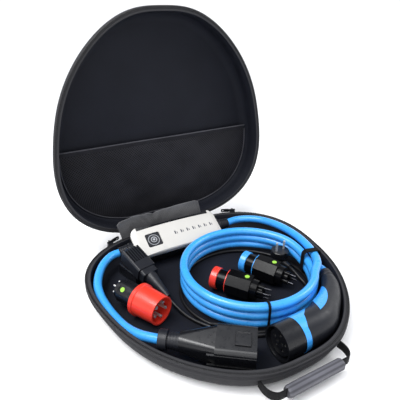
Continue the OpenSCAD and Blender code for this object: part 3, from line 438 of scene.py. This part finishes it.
THIN_START, THIN_END, THIN_SHIFT_AT, THIN_SHIFT = -128.0, 329.5, 170.0, 62.0


def coil_path():
    """Clockwise turns that step down one level each time they pass the side towards the lid's right."""
    angles = np.arange(COIL_START, COIL_END, -4.0)
    drops = sum(ease((at - angles) / COIL_STEP) for at in COIL_STEPS_AT)
    turn = np.radians(angles)
    return np.stack([COIL_AT[0] + COIL_R * np.cos(turn), COIL_AT[1] + COIL_R * np.sin(turn),
                     COIL_TOP - COIL_PITCH * drops], axis=1)


def thin_path():
    """One turn and a quarter on the tray's floor, the second inside the first."""
    angles = np.arange(THIN_START, THIN_END, 5.0)
    radius = THIN_OUTER + (THIN_INNER - THIN_OUTER) * ease((angles - THIN_SHIFT_AT) / THIN_SHIFT)
    turn = np.radians(angles)
    return np.stack([THIN_AT[0] + radius * np.cos(turn), THIN_AT[1] + radius * np.sin(turn),
                     np.full(len(angles), THIN_Z)], axis=1)


def make_cord(name, path, diameter, slot, material, far_end, lay, stiffness, carried, *stands_for):
    """A round cable along a path."""
    verts, faces, uvs = grid(sweep(path, circle(diameter / 2), turning=True), True, True)
    obj = make_piece(name, verts, faces, "case_base", material, uvs, 60.0)
    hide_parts(*stands_for)
    return obj


def on_cord(*names):
    """The CAD objects that a cord carries."""
    return [nodes[name] for name in names]


def make_cables(side_tie, front_tie):
    """The three cables."""
    make_cord("supply_cable_jacket", spline(SUPPLY_ROUTE, 6.0), CABLE_D, "blue_cable", blue_jacket,
              "connector", "loose", "stiff",
              on_cord("coupler_boot", "coupler_body", "release_button", "coupler_contacts"), "supply_cable")
    vehicle = spline(np.vstack([LEAD_ROUTE[:-1], coil_path()[::4], TAIL_ROUTE[1:]]), 6.0)
    make_cord("vehicle_cable_jacket", vehicle, CABLE_D, "blue_cable", blue_jacket, "plug", "coiled", "stiff",
              [side_tie, front_tie] + on_cord("plug_gland", "plug_grip", "plug_band", "plug_inlay",
                                              "plug_nose", "plug_contacts"),
              "vehicle_lead", "vehicle_coil", "vehicle_tail")
    thin = spline(np.vstack([THIN_LEAD[:-1], thin_path()[::3], THIN_TAIL[-2::-1]]), 5.0)
    make_cord("thin_cable_jacket", thin, THIN_D, "black_cable", black_jacket, "plug", "coiled", "medium",
              on_cord("mains_plug", "mains_plug_pins"), "thin_lead", "thin_coil", "thin_tail")


TIE_T, TIE_LOW, TIE_HIGH = 1.6, 13.2, 64.1
TIE_CORNER, TIE_OVERLAP, TIE_LIFT = 8.0, 9, 1.4


def make_tie(name, angle, inner, outer, width):
    """A strap round the cables, its loose end on the outside. inner and outer are reaches from the coil."""
    middle, half = COIL_R + (outer - inner) / 2, (inner + outer) / 2
    turn = math.radians(angle)
    out = np.array([math.cos(turn), math.sin(turn), 0.0])
    heart = np.array([COIL_AT[0], COIL_AT[1], (TIE_LOW + TIE_HIGH) / 2]) + out * middle
    loop = rounded_box(2 * half + TIE_T, TIE_HIGH - TIE_LOW, TIE_CORNER, 6)
    away = np.array([out * u + np.array([0.0, 0.0, v]) for u, v in loop + loop[:TIE_OVERLAP]])
    lift = np.linspace(0.0, 1.0, len(away)) ** 6 * TIE_LIFT
    path = [heart + a + a / np.linalg.norm(a) * h for a, h in zip(away, lift)]
    along = np.array([-out[1], out[0], 0.0])
    rings = sweep(path, rounded_box(TIE_T, width, 0.6, 2), up=along)
    verts, faces, uvs = grid(rings, True, True)
    return make_piece(name, verts, faces, "case_base", tie_cloth, uvs)


side_tie = make_tie("side_tie_strap", -14.0, 9.05, 26.95, 11.4)
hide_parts("coil_tie_side")
front_tie = make_tie("front_tie_strap", -110.0, 9.05, 9.05, 4.6)
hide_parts("coil_tie_front")
make_cables(side_tie, front_tie)


# Case shells and zip

CASE_W, CASE_FRONT, CASE_REAR = 496.0, 238.0, 233.0
BASE_H, LID_H, SHELL_T = 42.0, 56.0, 5.0
BASE_CORNER, LID_CORNER = 22.0, 26.0
BAND_H, BAND_T, TAPE_INSET, RIM_W = 12.0, 6.0, 1.5, 11.0
HINGE_Y, HINGE_Z, RIM_GAP, OPEN_ANGLE = 235.0, 43.5, 3.0, 91.0
TEETH_W, TEETH_H, TEETH_PITCH, TEETH_END, HINGE_FLAT = 3.0, 1.15, 2.8, 2.0, 62.0
AROUND = 256
RIM_ROUND = 0.8
# Rings of a shell's floor and of the line pressed into its outer face, as shares of the floor's outline
FLOOR_RINGS = (0.03, 0.4, 0.75)
PRESSED_LINE = ((0.905, 0.0), (0.912, 0.9), (0.924, 1.2), (0.936, 0.9), (0.943, 0.0))


def egg(angle):
    """A point of the case's unit outline: squarish, fuller towards the hinge."""
    c, s = np.cos(angle), np.sin(angle)
    power = np.where(s > 0, 3.1, 2.85)
    reach = (np.abs(c) ** power + np.abs(s) ** power) ** (-1 / power)
    t = reach * s
    return reach * c * (1 + 0.19 * t - 0.165 * t * t), t


EGG_PEAK = egg(np.radians(np.arange(72) * 5.0))[0].max()


def case_line(angle, inset):
    """Points of the case's outline, set in from the zip band's outer face."""
    x, t = egg(np.asarray(angle, float))
    return np.stack([x / EGG_PEAK * (CASE_W / 2 - inset),
                     np.minimum(t * (CASE_FRONT - inset), CASE_REAR - inset)], axis=-1)


def case_ring(inset, z, share=1.0):
    """A closed ring of the case's outline, or of a share of it."""
    line = case_line(np.arange(AROUND) * 2 * math.pi / AROUND, inset) * share
    return np.column_stack([line, np.full(AROUND, z)])


def to_lid(points):
    """Points of a tray standing on its floor, turned over and opened as the lid."""
    p = np.asarray(points, float)
    dy, dz = p[..., 1] - HINGE_Y, BASE_H + RIM_GAP / 2 - HINGE_Z + LID_H + RIM_GAP / 2 - p[..., 2]
    c, s = math.cos(math.radians(OPEN_ANGLE)), math.sin(math.radians(OPEN_ANGLE))
    return np.stack([p[..., 0], HINGE_Y + c * dy + s * dz, HINGE_Z - s * dy + c * dz], axis=-1)


def in_base(points):
    """Points of a tray that stays as it stands."""
    return np.asarray(points, float)


def make_shell(name, height, corner, put, body, node):
    """A moulded tray: cloth outside, lining inside, one skin round the rim."""
    arc = np.radians(np.linspace(0.0, 90.0, 10))
    inner = corner - SHELL_T
    rows = [case_ring(BAND_T + corner, 0.0, share) for share in FLOOR_RINGS]
    rows += [case_ring(BAND_T + corner, z, share) for share, z in PRESSED_LINE]
    rows += [case_ring(BAND_T + corner * (1 - math.sin(a)), corner * (1 - math.cos(a))) for a in arc]
    rows += [case_ring(BAND_T, height - RIM_ROUND), case_ring(BAND_T + RIM_ROUND, height)]
    outside = len(rows)
    rows += [case_ring(RIM_W - RIM_ROUND, height), case_ring(RIM_W, height - RIM_ROUND)]
    rows += [case_ring(RIM_W + inner * (1 - math.sin(a)), SHELL_T + inner * (1 - math.cos(a)))
             for a in arc[::-1]]
    rows += [case_ring(RIM_W + inner, SHELL_T, share) for share in FLOOR_RINGS[::-1]]
    verts, faces, uvs = grid(put(rows), True, True)
    # The floors take plan coordinates, so that the weave isn't pinched at their middle
    flat = np.concatenate(rows)
    last = (len(rows) - 1 - len(FLOOR_RINGS)) * AROUND
    first = (len(FLOOR_RINGS) + len(PRESSED_LINE) - 1) * AROUND
    corners = [(flat[k][:2], first <= i < last) for i, face in enumerate(faces) for k in face]
    uvs = [along if wall else tuple(across) for along, (across, wall) in zip(uvs, corners)]
    shell = make_piece(name, verts, faces, body, shell_cloth, uvs, 60.0)
    shell.data.materials.append(lining_cloth)
    inside = [i for i in range(len(faces)) if i >= outside * AROUND and i != len(faces) - 2]
    for i in inside:
        shell.data.polygons[i].material_index = 1
    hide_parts(node)


def make_band(name, height, put, body, node):
    """The sewn zip band: tape between two round ribs. Its section is (inset, height over the rim)."""
    section = [(BAND_T, -BAND_H), (2.4, -BAND_H), (0.9, -11.6), (0.25, -10.8), (0.1, -9.9), (0.5, -9.0),
               (1.3, -8.4), (TAPE_INSET, -7.4), (TAPE_INSET, -5.0), (1.3, -4.0), (0.5, -3.4), (0.1, -2.5),
               (0.25, -1.6), (0.9, -0.7), (2.2, -0.1), (4.0, 0.0), (BAND_T, 0.0), (BAND_T, -BAND_H)]
    rows = [case_ring(inset, height + z) for inset, z in section]
    verts, faces, uvs = grid(put(rows), True)
    band = make_piece(name, verts, faces, body, band_cloth, uvs, 50.0)
    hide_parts(node)


# Half length, half width and height of a tooth's foot, shoulder and top
TOOTH_ROWS = ((0.8, TEETH_W / 2, 0.0), (0.8, TEETH_W / 2, TEETH_H - 0.35), (0.5, 1.1, TEETH_H))


def make_teeth(name, height, put, body, node, offset):
    """Single zip teeth along the band, left out behind the hinge."""
    fine = np.radians(np.linspace(180.0 - HINGE_FLAT, 360.0 + HINGE_FLAT, 1500))
    line = case_line(fine, BAND_T / 2)
    far = np.concatenate([[0.0], np.cumsum(np.linalg.norm(np.diff(line, axis=0), axis=1))])
    starts = np.arange(offset * TEETH_PITCH + TEETH_END, far[-1] - TEETH_END, TEETH_PITCH)
    parts = []
    for i in np.interp(starts, far, np.arange(len(far))):
        low = int(min(max(i, 1), len(line) - 2))
        ahead = line[low + 1] - line[low - 1]
        ahead = ahead / np.linalg.norm(ahead)
        side = np.array([-ahead[1], ahead[0]])
        rows = []
        for half_l, half_w, z in TOOTH_ROWS:
            flat = [line[low] + ahead * a * half_l + side * b * half_w
                    for a, b in ((-1, -1), (1, -1), (1, 1), (-1, 1))]
            rows.append([[p[0], p[1], height + z] for p in flat])
        parts.append(grid(rows, True, True))
    verts, faces, uvs = joined(parts)
    teeth = make_piece(name, put(verts), faces, body, zip_teeth_plastic, uvs, 30.0)
    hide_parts(node)


STITCH_PITCH, STITCH_STEPS, STITCH_R, STITCH_ROWS = 4.2, (0.0, 1.4, 2.8), 0.32, (-7.3, -5.1)


def make_stitches(name, height, put, body):
    """Two rows of short stitches along the band's tape."""
    line = case_line(np.linspace(0.0, 2 * math.pi, 3000), TAPE_INSET)
    far = np.concatenate([[0.0], np.cumsum(np.linalg.norm(np.diff(line, axis=0), axis=1))])
    parts = []
    for z in STITCH_ROWS:
        for start in np.arange(0.0, far[-1] - STITCH_PITCH, STITCH_PITCH):
            ends = [np.array([np.interp(start + k, far, line[:, i]) for i in (0, 1)]) for k in STITCH_STEPS]
            path = [(p[0], p[1], height + z) for p in ends]
            parts.append(grid(sweep(path, circle(STITCH_R, 6)), True, True))
    verts, faces, uvs = joined(parts)
    make_piece(name, put(verts), faces, body, stitch_thread, uvs)


make_shell("base_shell_cloth", BASE_H, BASE_CORNER, in_base, "case_base", "base_shell")
make_shell("lid_shell_cloth", LID_H, LID_CORNER, to_lid, "case_lid", "lid_shell")
make_band("base_band_tape", BASE_H, in_base, "case_base", "base_zip_band")
make_band("lid_band_tape", LID_H, to_lid, "case_lid", "lid_zip_band")
make_stitches("base_band_stitches", BASE_H, in_base, "case_base")
make_stitches("lid_band_stitches", LID_H, to_lid, "case_lid")
make_teeth("base_teeth_row", BASE_H, in_base, "case_base", "base_zip_teeth", 0.0)
make_teeth("lid_teeth_row", LID_H, to_lid, "case_lid", "lid_zip_teeth", 0.5)


# Pocket, hinge and handle

POCKET_EDGE, POCKET_INSET, PIPING_W, SEAM = 34.0, 16.7, 3.0, 0.2
BINDING_W, BINDING_T, MESH_T = 10.0, 2.4, 1.2
NET_Z = 13.0 + MESH_T / 2


def half_width(y, inset):
    """Half of the case's width at a place towards the hinge."""
    angle = np.radians(np.linspace(0.0, 89.0, 400))
    line = case_line(angle, inset)
    return np.interp(y, line[:, 1], line[:, 0])


def pocket_sag(x, y):
    """How far the slack net stands out from its sewn edge, with soft diagonal folds."""
    side = np.clip(1 - (x / 225.0) ** 2, 0.0, 1.0)
    across = np.clip((y - POCKET_EDGE) / 30.0, 0.0, 1.0) * np.clip((213.0 - y) / 50.0, 0.0, 1.0)
    folds = np.sin((x + 1.4 * y) / 21.0) + 0.6 * np.sin((x - 0.8 * y) / 13.0 + 1.0)
    return side * across * (2.4 + 0.9 * folds)


def make_net():
    """The pocket's slack net, sewn in along the lid's wall."""
    inset = POCKET_INSET + PIPING_W
    rows = []
    for y in np.linspace(POCKET_EDGE + BINDING_W - 1.0, CASE_REAR - inset - SEAM, 48):
        reach = half_width(y, inset) - SEAM
        x = np.linspace(-reach, reach, 90)
        rows.append(np.column_stack([x, np.full(90, y), NET_Z + pocket_sag(x, y)]))
    verts, faces, uvs = grid(to_lid(rows))
    pocket = make_piece("pocket_net_sheet", verts, faces, "case_lid", pocket_net, uvs)
    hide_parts("mesh_pocket")
    return pocket


def open_edge(y, lift):
    """A line along the pocket's slack open edge."""
    reach = half_width(POCKET_EDGE + BINDING_W / 2, POCKET_INSET) - 1.0
    x = np.linspace(-reach, reach, 60)
    return np.column_stack([x, np.full(60, y), NET_Z + (0.5 * np.sin(x / 34.0) + 0.3) + lift])


def make_binding():
    """The binding tape on the pocket's open edge."""
    rings = sweep(open_edge(POCKET_EDGE + BINDING_W / 2, 0.0), rounded_box(BINDING_W, BINDING_T, 1.0, 3))
    verts, faces, uvs = grid(to_lid(rings), True, True)
    binding = make_piece("pocket_binding_tape", verts, faces, "case_lid", binding_cloth, uvs)
    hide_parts("pocket_binding")
    return binding


def make_piping():
    """Piping round the net's sewn edge, and a bead along the binding."""
    first = math.radians(9.0)
    line = case_line(np.linspace(first, math.pi - first, 160), POCKET_INSET + PIPING_W / 2)
    line = line[line[:, 1] > POCKET_EDGE + 2.0]
    cord = np.column_stack([line, np.full(len(line), NET_Z)])
    bead = open_edge(POCKET_EDGE + 0.9, 0.5)
    verts, faces, uvs = joined([grid(to_lid(sweep(cord, circle(1.3, 10))), True, True),
                                grid(to_lid(sweep(bead, circle(1.5, 10))), True, True)])
    return make_piece("pocket_piping", verts, faces, "case_lid", piping_cloth, uvs)


def make_pocket():
    """The lid's pocket: its net, binding and piping."""
    pocket = make_net()
    binding = make_binding()
    piping = make_piping()


HINGE_W, HINGE_T = 176.0, 1.2


def make_hinge_strip():
    """The fabric hinge: sewn down the back of the base and under the lid's band."""
    back, top = CASE_REAR + 0.1, HINGE_Z + 1.7
    middle = [(back + 0.6, 31.2), (back + 0.6, 36.0), (back + 0.6, 41.0), (back + 0.75, 43.0),
              (back + 1.6, top - 0.9), (back + 3.0, top - 0.62), (back + 8.0, top - 0.75),
              (back + 14.2, top - 0.8)]
    outline = spline([(0.0, y, z) for y, z in middle], 1.5)[:, 1:]
    ahead = np.gradient(outline, axis=0)
    normal = np.column_stack([-ahead[:, 1], ahead[:, 0]])
    normal /= np.linalg.norm(normal, axis=1)[:, None]
    half = HINGE_T / 2 - 0.12
    loop = np.vstack([outline + normal * half, (outline - normal * half)[::-1]])
    rows = [[(x, y, z) for y, z in loop] for x in np.linspace(-HINGE_W / 2, HINGE_W / 2, 30)]
    verts, faces, uvs = grid(rows, True, True)
    strip = make_piece("hinge_strip_cloth", verts, faces, None, hinge_cloth, uvs)
    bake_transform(strip)
    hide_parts("hinge_strip")


FLAP_X, FLAP_Y, FLAP_Z, FLAP_W, FLAP_H, FLAP_FOLD = -33.0, 229.2, 42.4, 220.0, 50.0, 12.0
# Place of the notch along the flap, and how far its ends move in where the case curves and curl forward
FLAP_NOTCH, FLAP_TUCK, FLAP_CURL, FLAP_T = 0.44, 2.6, 3.4, 1.2


def rear_drop(x):
    """How far the case's outline has curved forward from its straight rear at a place across it."""
    line = case_line(np.radians(np.linspace(0.0, 89.0, 400)), 0.0)[::-1]
    return CASE_REAR - np.interp(np.abs(x), line[:, 0], line[:, 1])


def make_flap():
    """The loose cloth flap behind the control box, creased where its two layers meet."""
    rows = []
    u = np.linspace(0.0, 1.0, 110)
    for v in np.linspace(0.0, 1.0, 30):
        left = -FLAP_W / 2 + FLAP_FOLD * (1 - v)
        right = FLAP_W / 2 - FLAP_FOLD * v
        x = FLAP_X + left + (right - left) * u
        side = ease((2 * np.abs(u - 0.5) - 0.92) / 0.08)
        from_notch = u - FLAP_NOTCH
        notch = np.exp(-(from_notch / 0.025) ** 2)
        fold = 2.4 * v * ease((0.03 + 0.05 * v - from_notch) / 0.03)
        rays = 1.6 * v * v * np.sin(80.0 * from_notch * (1.7 - v)) * np.exp(-(from_notch / 0.15) ** 2)
        wave = v * (0.9 * np.sin(7.0 * u + 2.0 * v) + 0.45 * np.sin(23.0 * u - 9.0 * v))
        drop = rear_drop(x)
        y = FLAP_Y - drop - FLAP_TUCK * ease(drop / 2.0) - fold + wave + rays - FLAP_CURL * side * v
        height = FLAP_H - 2.0 * (1 - u) + 0.8 * np.sin(9.0 * u) - 3.5 * notch - 2.5 * side
        z = FLAP_Z + v * height
        rows.append(np.column_stack([x, y, z]))
    verts, faces, uvs = grid(rows)
    flap = make_piece("hinge_flap_cloth", verts, faces, "case_base", flap_cloth, uvs)
    thick = flap.modifiers.new("thickness", "SOLIDIFY")
    thick.thickness = FLAP_T * MM
    thick.offset = 0.0
    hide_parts("hinge_flap")
    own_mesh(flap)


# The sliders wait beside the flap's right end, and as far out on the left
SLIDER_CLEAR = 20.0
SLIDER_ANGLE = math.atan2(CASE_REAR, FLAP_W / 2 - FLAP_X + SLIDER_CLEAR)
TONGUE = [(-6.5, -1.2), (6.5, -1.2), (6.5, 0.8), (4.0, 4.4), (-4.0, 4.4), (-6.5, 0.8)]
TONGUE_T = 0.5


def make_slider_tongues():
    """A thin plate from each zip slider's block onto the teeth. Points of it are (along, inwards)."""
    low = BASE_H + TEETH_H - 0.1
    parts = []
    for angle in (SLIDER_ANGLE, math.pi - SLIDER_ANGLE):
        ahead = case_line(angle + 0.02, 0.0) - case_line(angle - 0.02, 0.0)
        ahead /= np.linalg.norm(ahead)
        inwards = np.array([-ahead[1], ahead[0]])
        flat = [case_line(angle, 0.0) + ahead * a + inwards * b for a, b in TONGUE]
        parts.append(grid([[(p[0], p[1], z) for p in flat] for z in (low, low + TONGUE_T)], True, True))
    verts, faces, uvs = joined(parts)
    make_piece("zip_slider_tongues", verts, faces, "case_base", zip_metal, uvs)


GRIP_L, GRIP_D, GRIP_Y, GRIP_Z = 108.0, 19.0, -254.5, 21.7
WEBBING_W, WEBBING_T, STRAP_ANGLE = 16.0, 2.4, 62.0
GRIP_AROUND, GRIP_POWER, GRIP_END = 56, 2.6, 4.0


def make_webbing():
    """Two webbing legs from the case's wall into the grip."""
    wall = case_line(math.radians(-STRAP_ANGLE), BAND_T)
    root = np.array([wall[0], wall[1] - WEBBING_T / 2 - 0.3])
    corner = np.array([root[0] - 2.0, GRIP_Y + 9.0])
    half = np.array([root[0] + 1.0, (root[1] + corner[1]) / 2])
    end = np.array([GRIP_L / 2 - 4.0, GRIP_Y])
    flat = [root, half, corner, np.array([corner[0] - 9.0, GRIP_Y + 1.0]), end]
    leg = spline([(p[0], p[1], GRIP_Z) for p in flat], 1.5)
    section = rounded_box(WEBBING_T, WEBBING_W, 0.9, 3)
    right = sweep(leg, section)
    left = right.copy()
    left[..., 0] *= -1
    verts, faces, uvs = joined([grid(right, True, True), grid(left[:, ::-1], True, True)])
    strap = make_piece("handle_webbing", verts, faces, "case_base", webbing_cloth, uvs, 50.0)
    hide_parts("handle_strap")


def make_grip():
    """The ribbed sleeve: squarish, and drawn in at both ends."""
    rings = []
    for x in np.linspace(-GRIP_L / 2, GRIP_L / 2, 60):
        close = min(1.0, (GRIP_L / 2 - abs(x)) / GRIP_END)
        r = GRIP_D / 2 - 1.6 * (1 - close) ** 2 - 0.12 * (1 + math.sin(x / 17.0)) * close
        ring = []
        for k in range(GRIP_AROUND):
            a = 2 * math.pi * k / GRIP_AROUND
            fold = 0.45 * abs(math.sin(3.5 * a))
            lobe = (abs(math.cos(a)) ** GRIP_POWER + abs(math.sin(a)) ** GRIP_POWER) ** (-1 / GRIP_POWER)
            reach = min(r, (r - fold) * lobe * 0.97)
            ring.append((x, GRIP_Y + reach * math.cos(a), GRIP_Z + reach * math.sin(a)))
        rings.append(ring)
    verts, faces, uvs = grid(rings, True, True)
    grip = make_piece("handle_grip_sleeve", verts, faces, "case_base", grip_rubber, uvs)
    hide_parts("handle_grip")


make_pocket()
make_hinge_strip()
make_flap()
make_slider_tongues()
make_webbing()
make_grip()


# Printed marks on the control box

BOX_AT, BOX_TILT, CROWN_R = (-18.0, 134.15, 44.27), math.radians(30.0), 900.0
LIGHT_X, LIGHT_Y, LIGHT_PITCH, LIGHT_COUNT = -8.5, 35.0, 15.0, 7
MARK_X, MARK_Y, MARK_W, MARK_L, MARK_R = 4.2, -1.4, 1.6, 5.2, 0.7


def on_box(points):
    """Points on the control box's crowned cover, moved to where the box leans in the case."""
    p = np.asarray(points, float)
    x, y = p[..., 0], p[..., 1]
    z = np.sqrt(CROWN_R ** 2 - x ** 2) - CROWN_R + p[..., 2]
    c, s = math.cos(BOX_TILT), math.sin(BOX_TILT)
    return np.stack([BOX_AT[0] + x, BOX_AT[1] + y * c - z * s, BOX_AT[2] + y * s + z * c], axis=-1)


def make_marks():
    """A short printed bar beside each status light."""
    parts = []
    for i in range(LIGHT_COUNT):
        middle = (LIGHT_X + i * LIGHT_PITCH + MARK_X, LIGHT_Y + MARK_Y)
        outline = rounded_box(MARK_W, MARK_L, MARK_R)
        rows = [[(middle[0] + x, middle[1] + y, z) for x, y in outline] for z in (-0.2, 0.12)]
        parts.append(grid(on_box(rows), True, True))
    verts, faces, uvs = joined(parts)
    make_piece("box_marks", verts, faces, "case_base", lens_grey, uvs)


make_marks()


# Hard parts that keep their solids

FINISHES = {
    "zip_sliders": zip_metal, "zip_pull_left": zip_metal, "zip_pull_right": zip_metal,
    "box_housing": black_plastic, "box_cover": white_plastic, "button_panel": panel_black,
    "mode_button": button_face, "status_lights": lens_grey, "circuit_board": board_green,
    "power_relays": black_plastic, "fault_sensor": ferrite, "box_screws": steel,
    "supply_gland": soft_black, "lead_gland": soft_black,
    "coupler_boot": soft_black, "coupler_body": black_plastic, "release_button": black_plastic,
    "coupler_contacts": nickel,
    "plug_gland": soft_black, "plug_grip": soft_black, "plug_inlay": blue_plastic,
    "plug_band": blue_plastic, "plug_nose": black_plastic, "plug_contacts": nickel,
    "five_pin_body": black_plastic, "five_pin_collar": red_plastic, "five_pin_contacts": bright_pins,
    "red_adapter_body": gloss_black, "red_adapter_rings": red_plastic,
    "blue_adapter_body": gloss_black, "blue_adapter_rings": blue_plastic,
    "small_adapter_contacts": dark_nickel, "adapter_dots": green_plastic,
    "ribbed_adapter": soft_black, "spare_adapter": black_plastic, "adapter_blades": dark_nickel,
    "mains_plug": black_plastic, "mains_plug_pins": bright_pins,
}


EDGE_ROUND = 0.5


def finish_solids():
    """Each solid gets its finish, and softened edges as moulded parts have."""
    for name, material in FINISHES.items():
        solid = nodes[name]
        solid.data.materials.clear()
        solid.data.materials.append(material)
        weld = solid.modifiers.new("weld", "WELD")
        weld.merge_threshold = 0.00001
        edge = solid.modifiers.new("soft_edges", "BEVEL")
        edge.width = EDGE_ROUND * MM
        edge.segments = 2
        edge.limit_method = "ANGLE"
        edge.angle_limit = math.radians(38.0)
        even = solid.modifiers.new("even_shading", "WEIGHTED_NORMAL")
        even.weight = 50


finish_solids()


# Floor and light

FLOOR_REACH = 80.0
SKY_LOW, SKY_HIGH = grey(1.05), (0.44, 0.46, 0.51, 1.0)
SUN_POWER, SUN_SPREAD, SUN_TOWARDS = 2.0, 50.0, (0.35, 0.1, -1.0)
# Place, target, size in metres and power of each soft box
SOFT_BOXES = {"key": ((-0.7, 0.1, 1.3), (0.0, 0.0, 0.05), 0.7, 12.0),
              "front": ((-0.9, -1.3, 0.8), (0.0, 0.0, 0.1), 1.0, 4.0),
              "edge": ((1.1, -0.2, 0.9), (0.05, 0.0, 0.05), 0.6, 5.0)}


def make_stage():
    """A plain pale floor."""
    mesh = bpy.data.meshes.new("floor")
    corners = [(x * FLOOR_REACH, y * FLOOR_REACH, 0.0) for x, y in ((-1, -1), (1, -1), (1, 1), (-1, 1))]
    mesh.from_pydata(corners, [], [(0, 1, 2, 3)])
    floor = bpy.data.objects.new("floor", mesh)
    bpy.context.scene.collection.objects.link(floor)
    mesh.materials.append(moulded("floor_paper", rgb(250, 250, 250), 0.9, 0.02, 0.985))


def make_light(name, at, target, size, power):
    """A round soft box, aimed at a point."""
    data = bpy.data.lights.new(name, "AREA")
    data.shape = "DISK"
    data.size = size
    data.energy = power
    light = bpy.data.objects.new(name, data)
    light.location = at
    light.rotation_euler = (Vector(target) - Vector(at)).to_track_quat("-Z", "Y").to_euler()
    bpy.context.scene.collection.objects.link(light)


def make_lights():
    """Even daylight that keeps the floor white, and soft boxes for gloss."""
    world = bpy.data.worlds.new("studio")
    world.use_nodes = True
    tree = world.node_tree
    where = tree.nodes.new("ShaderNodeTexCoord")
    parts = tree.nodes.new("ShaderNodeSeparateXYZ")
    tree.links.new(where.outputs["Generated"], parts.inputs["Vector"])
    sky = tree.nodes["Background"]
    tree.links.new(ramp(tree, parts.outputs["Z"], SKY_LOW, SKY_HIGH, 0.3, 0.5), sky.inputs["Color"])
    bpy.context.scene.world = world
    data = bpy.data.lights.new("daylight", "SUN")
    data.energy = SUN_POWER
    data.angle = math.radians(SUN_SPREAD)
    daylight = bpy.data.objects.new("daylight", data)
    daylight.rotation_euler = Vector(SUN_TOWARDS).to_track_quat("-Z", "Y").to_euler()
    bpy.context.scene.collection.objects.link(daylight)
    for name, settings in SOFT_BOXES.items():
        make_light(name, *settings)
    bpy.context.scene.view_settings.view_transform = "Standard"


make_stage()
make_lights()
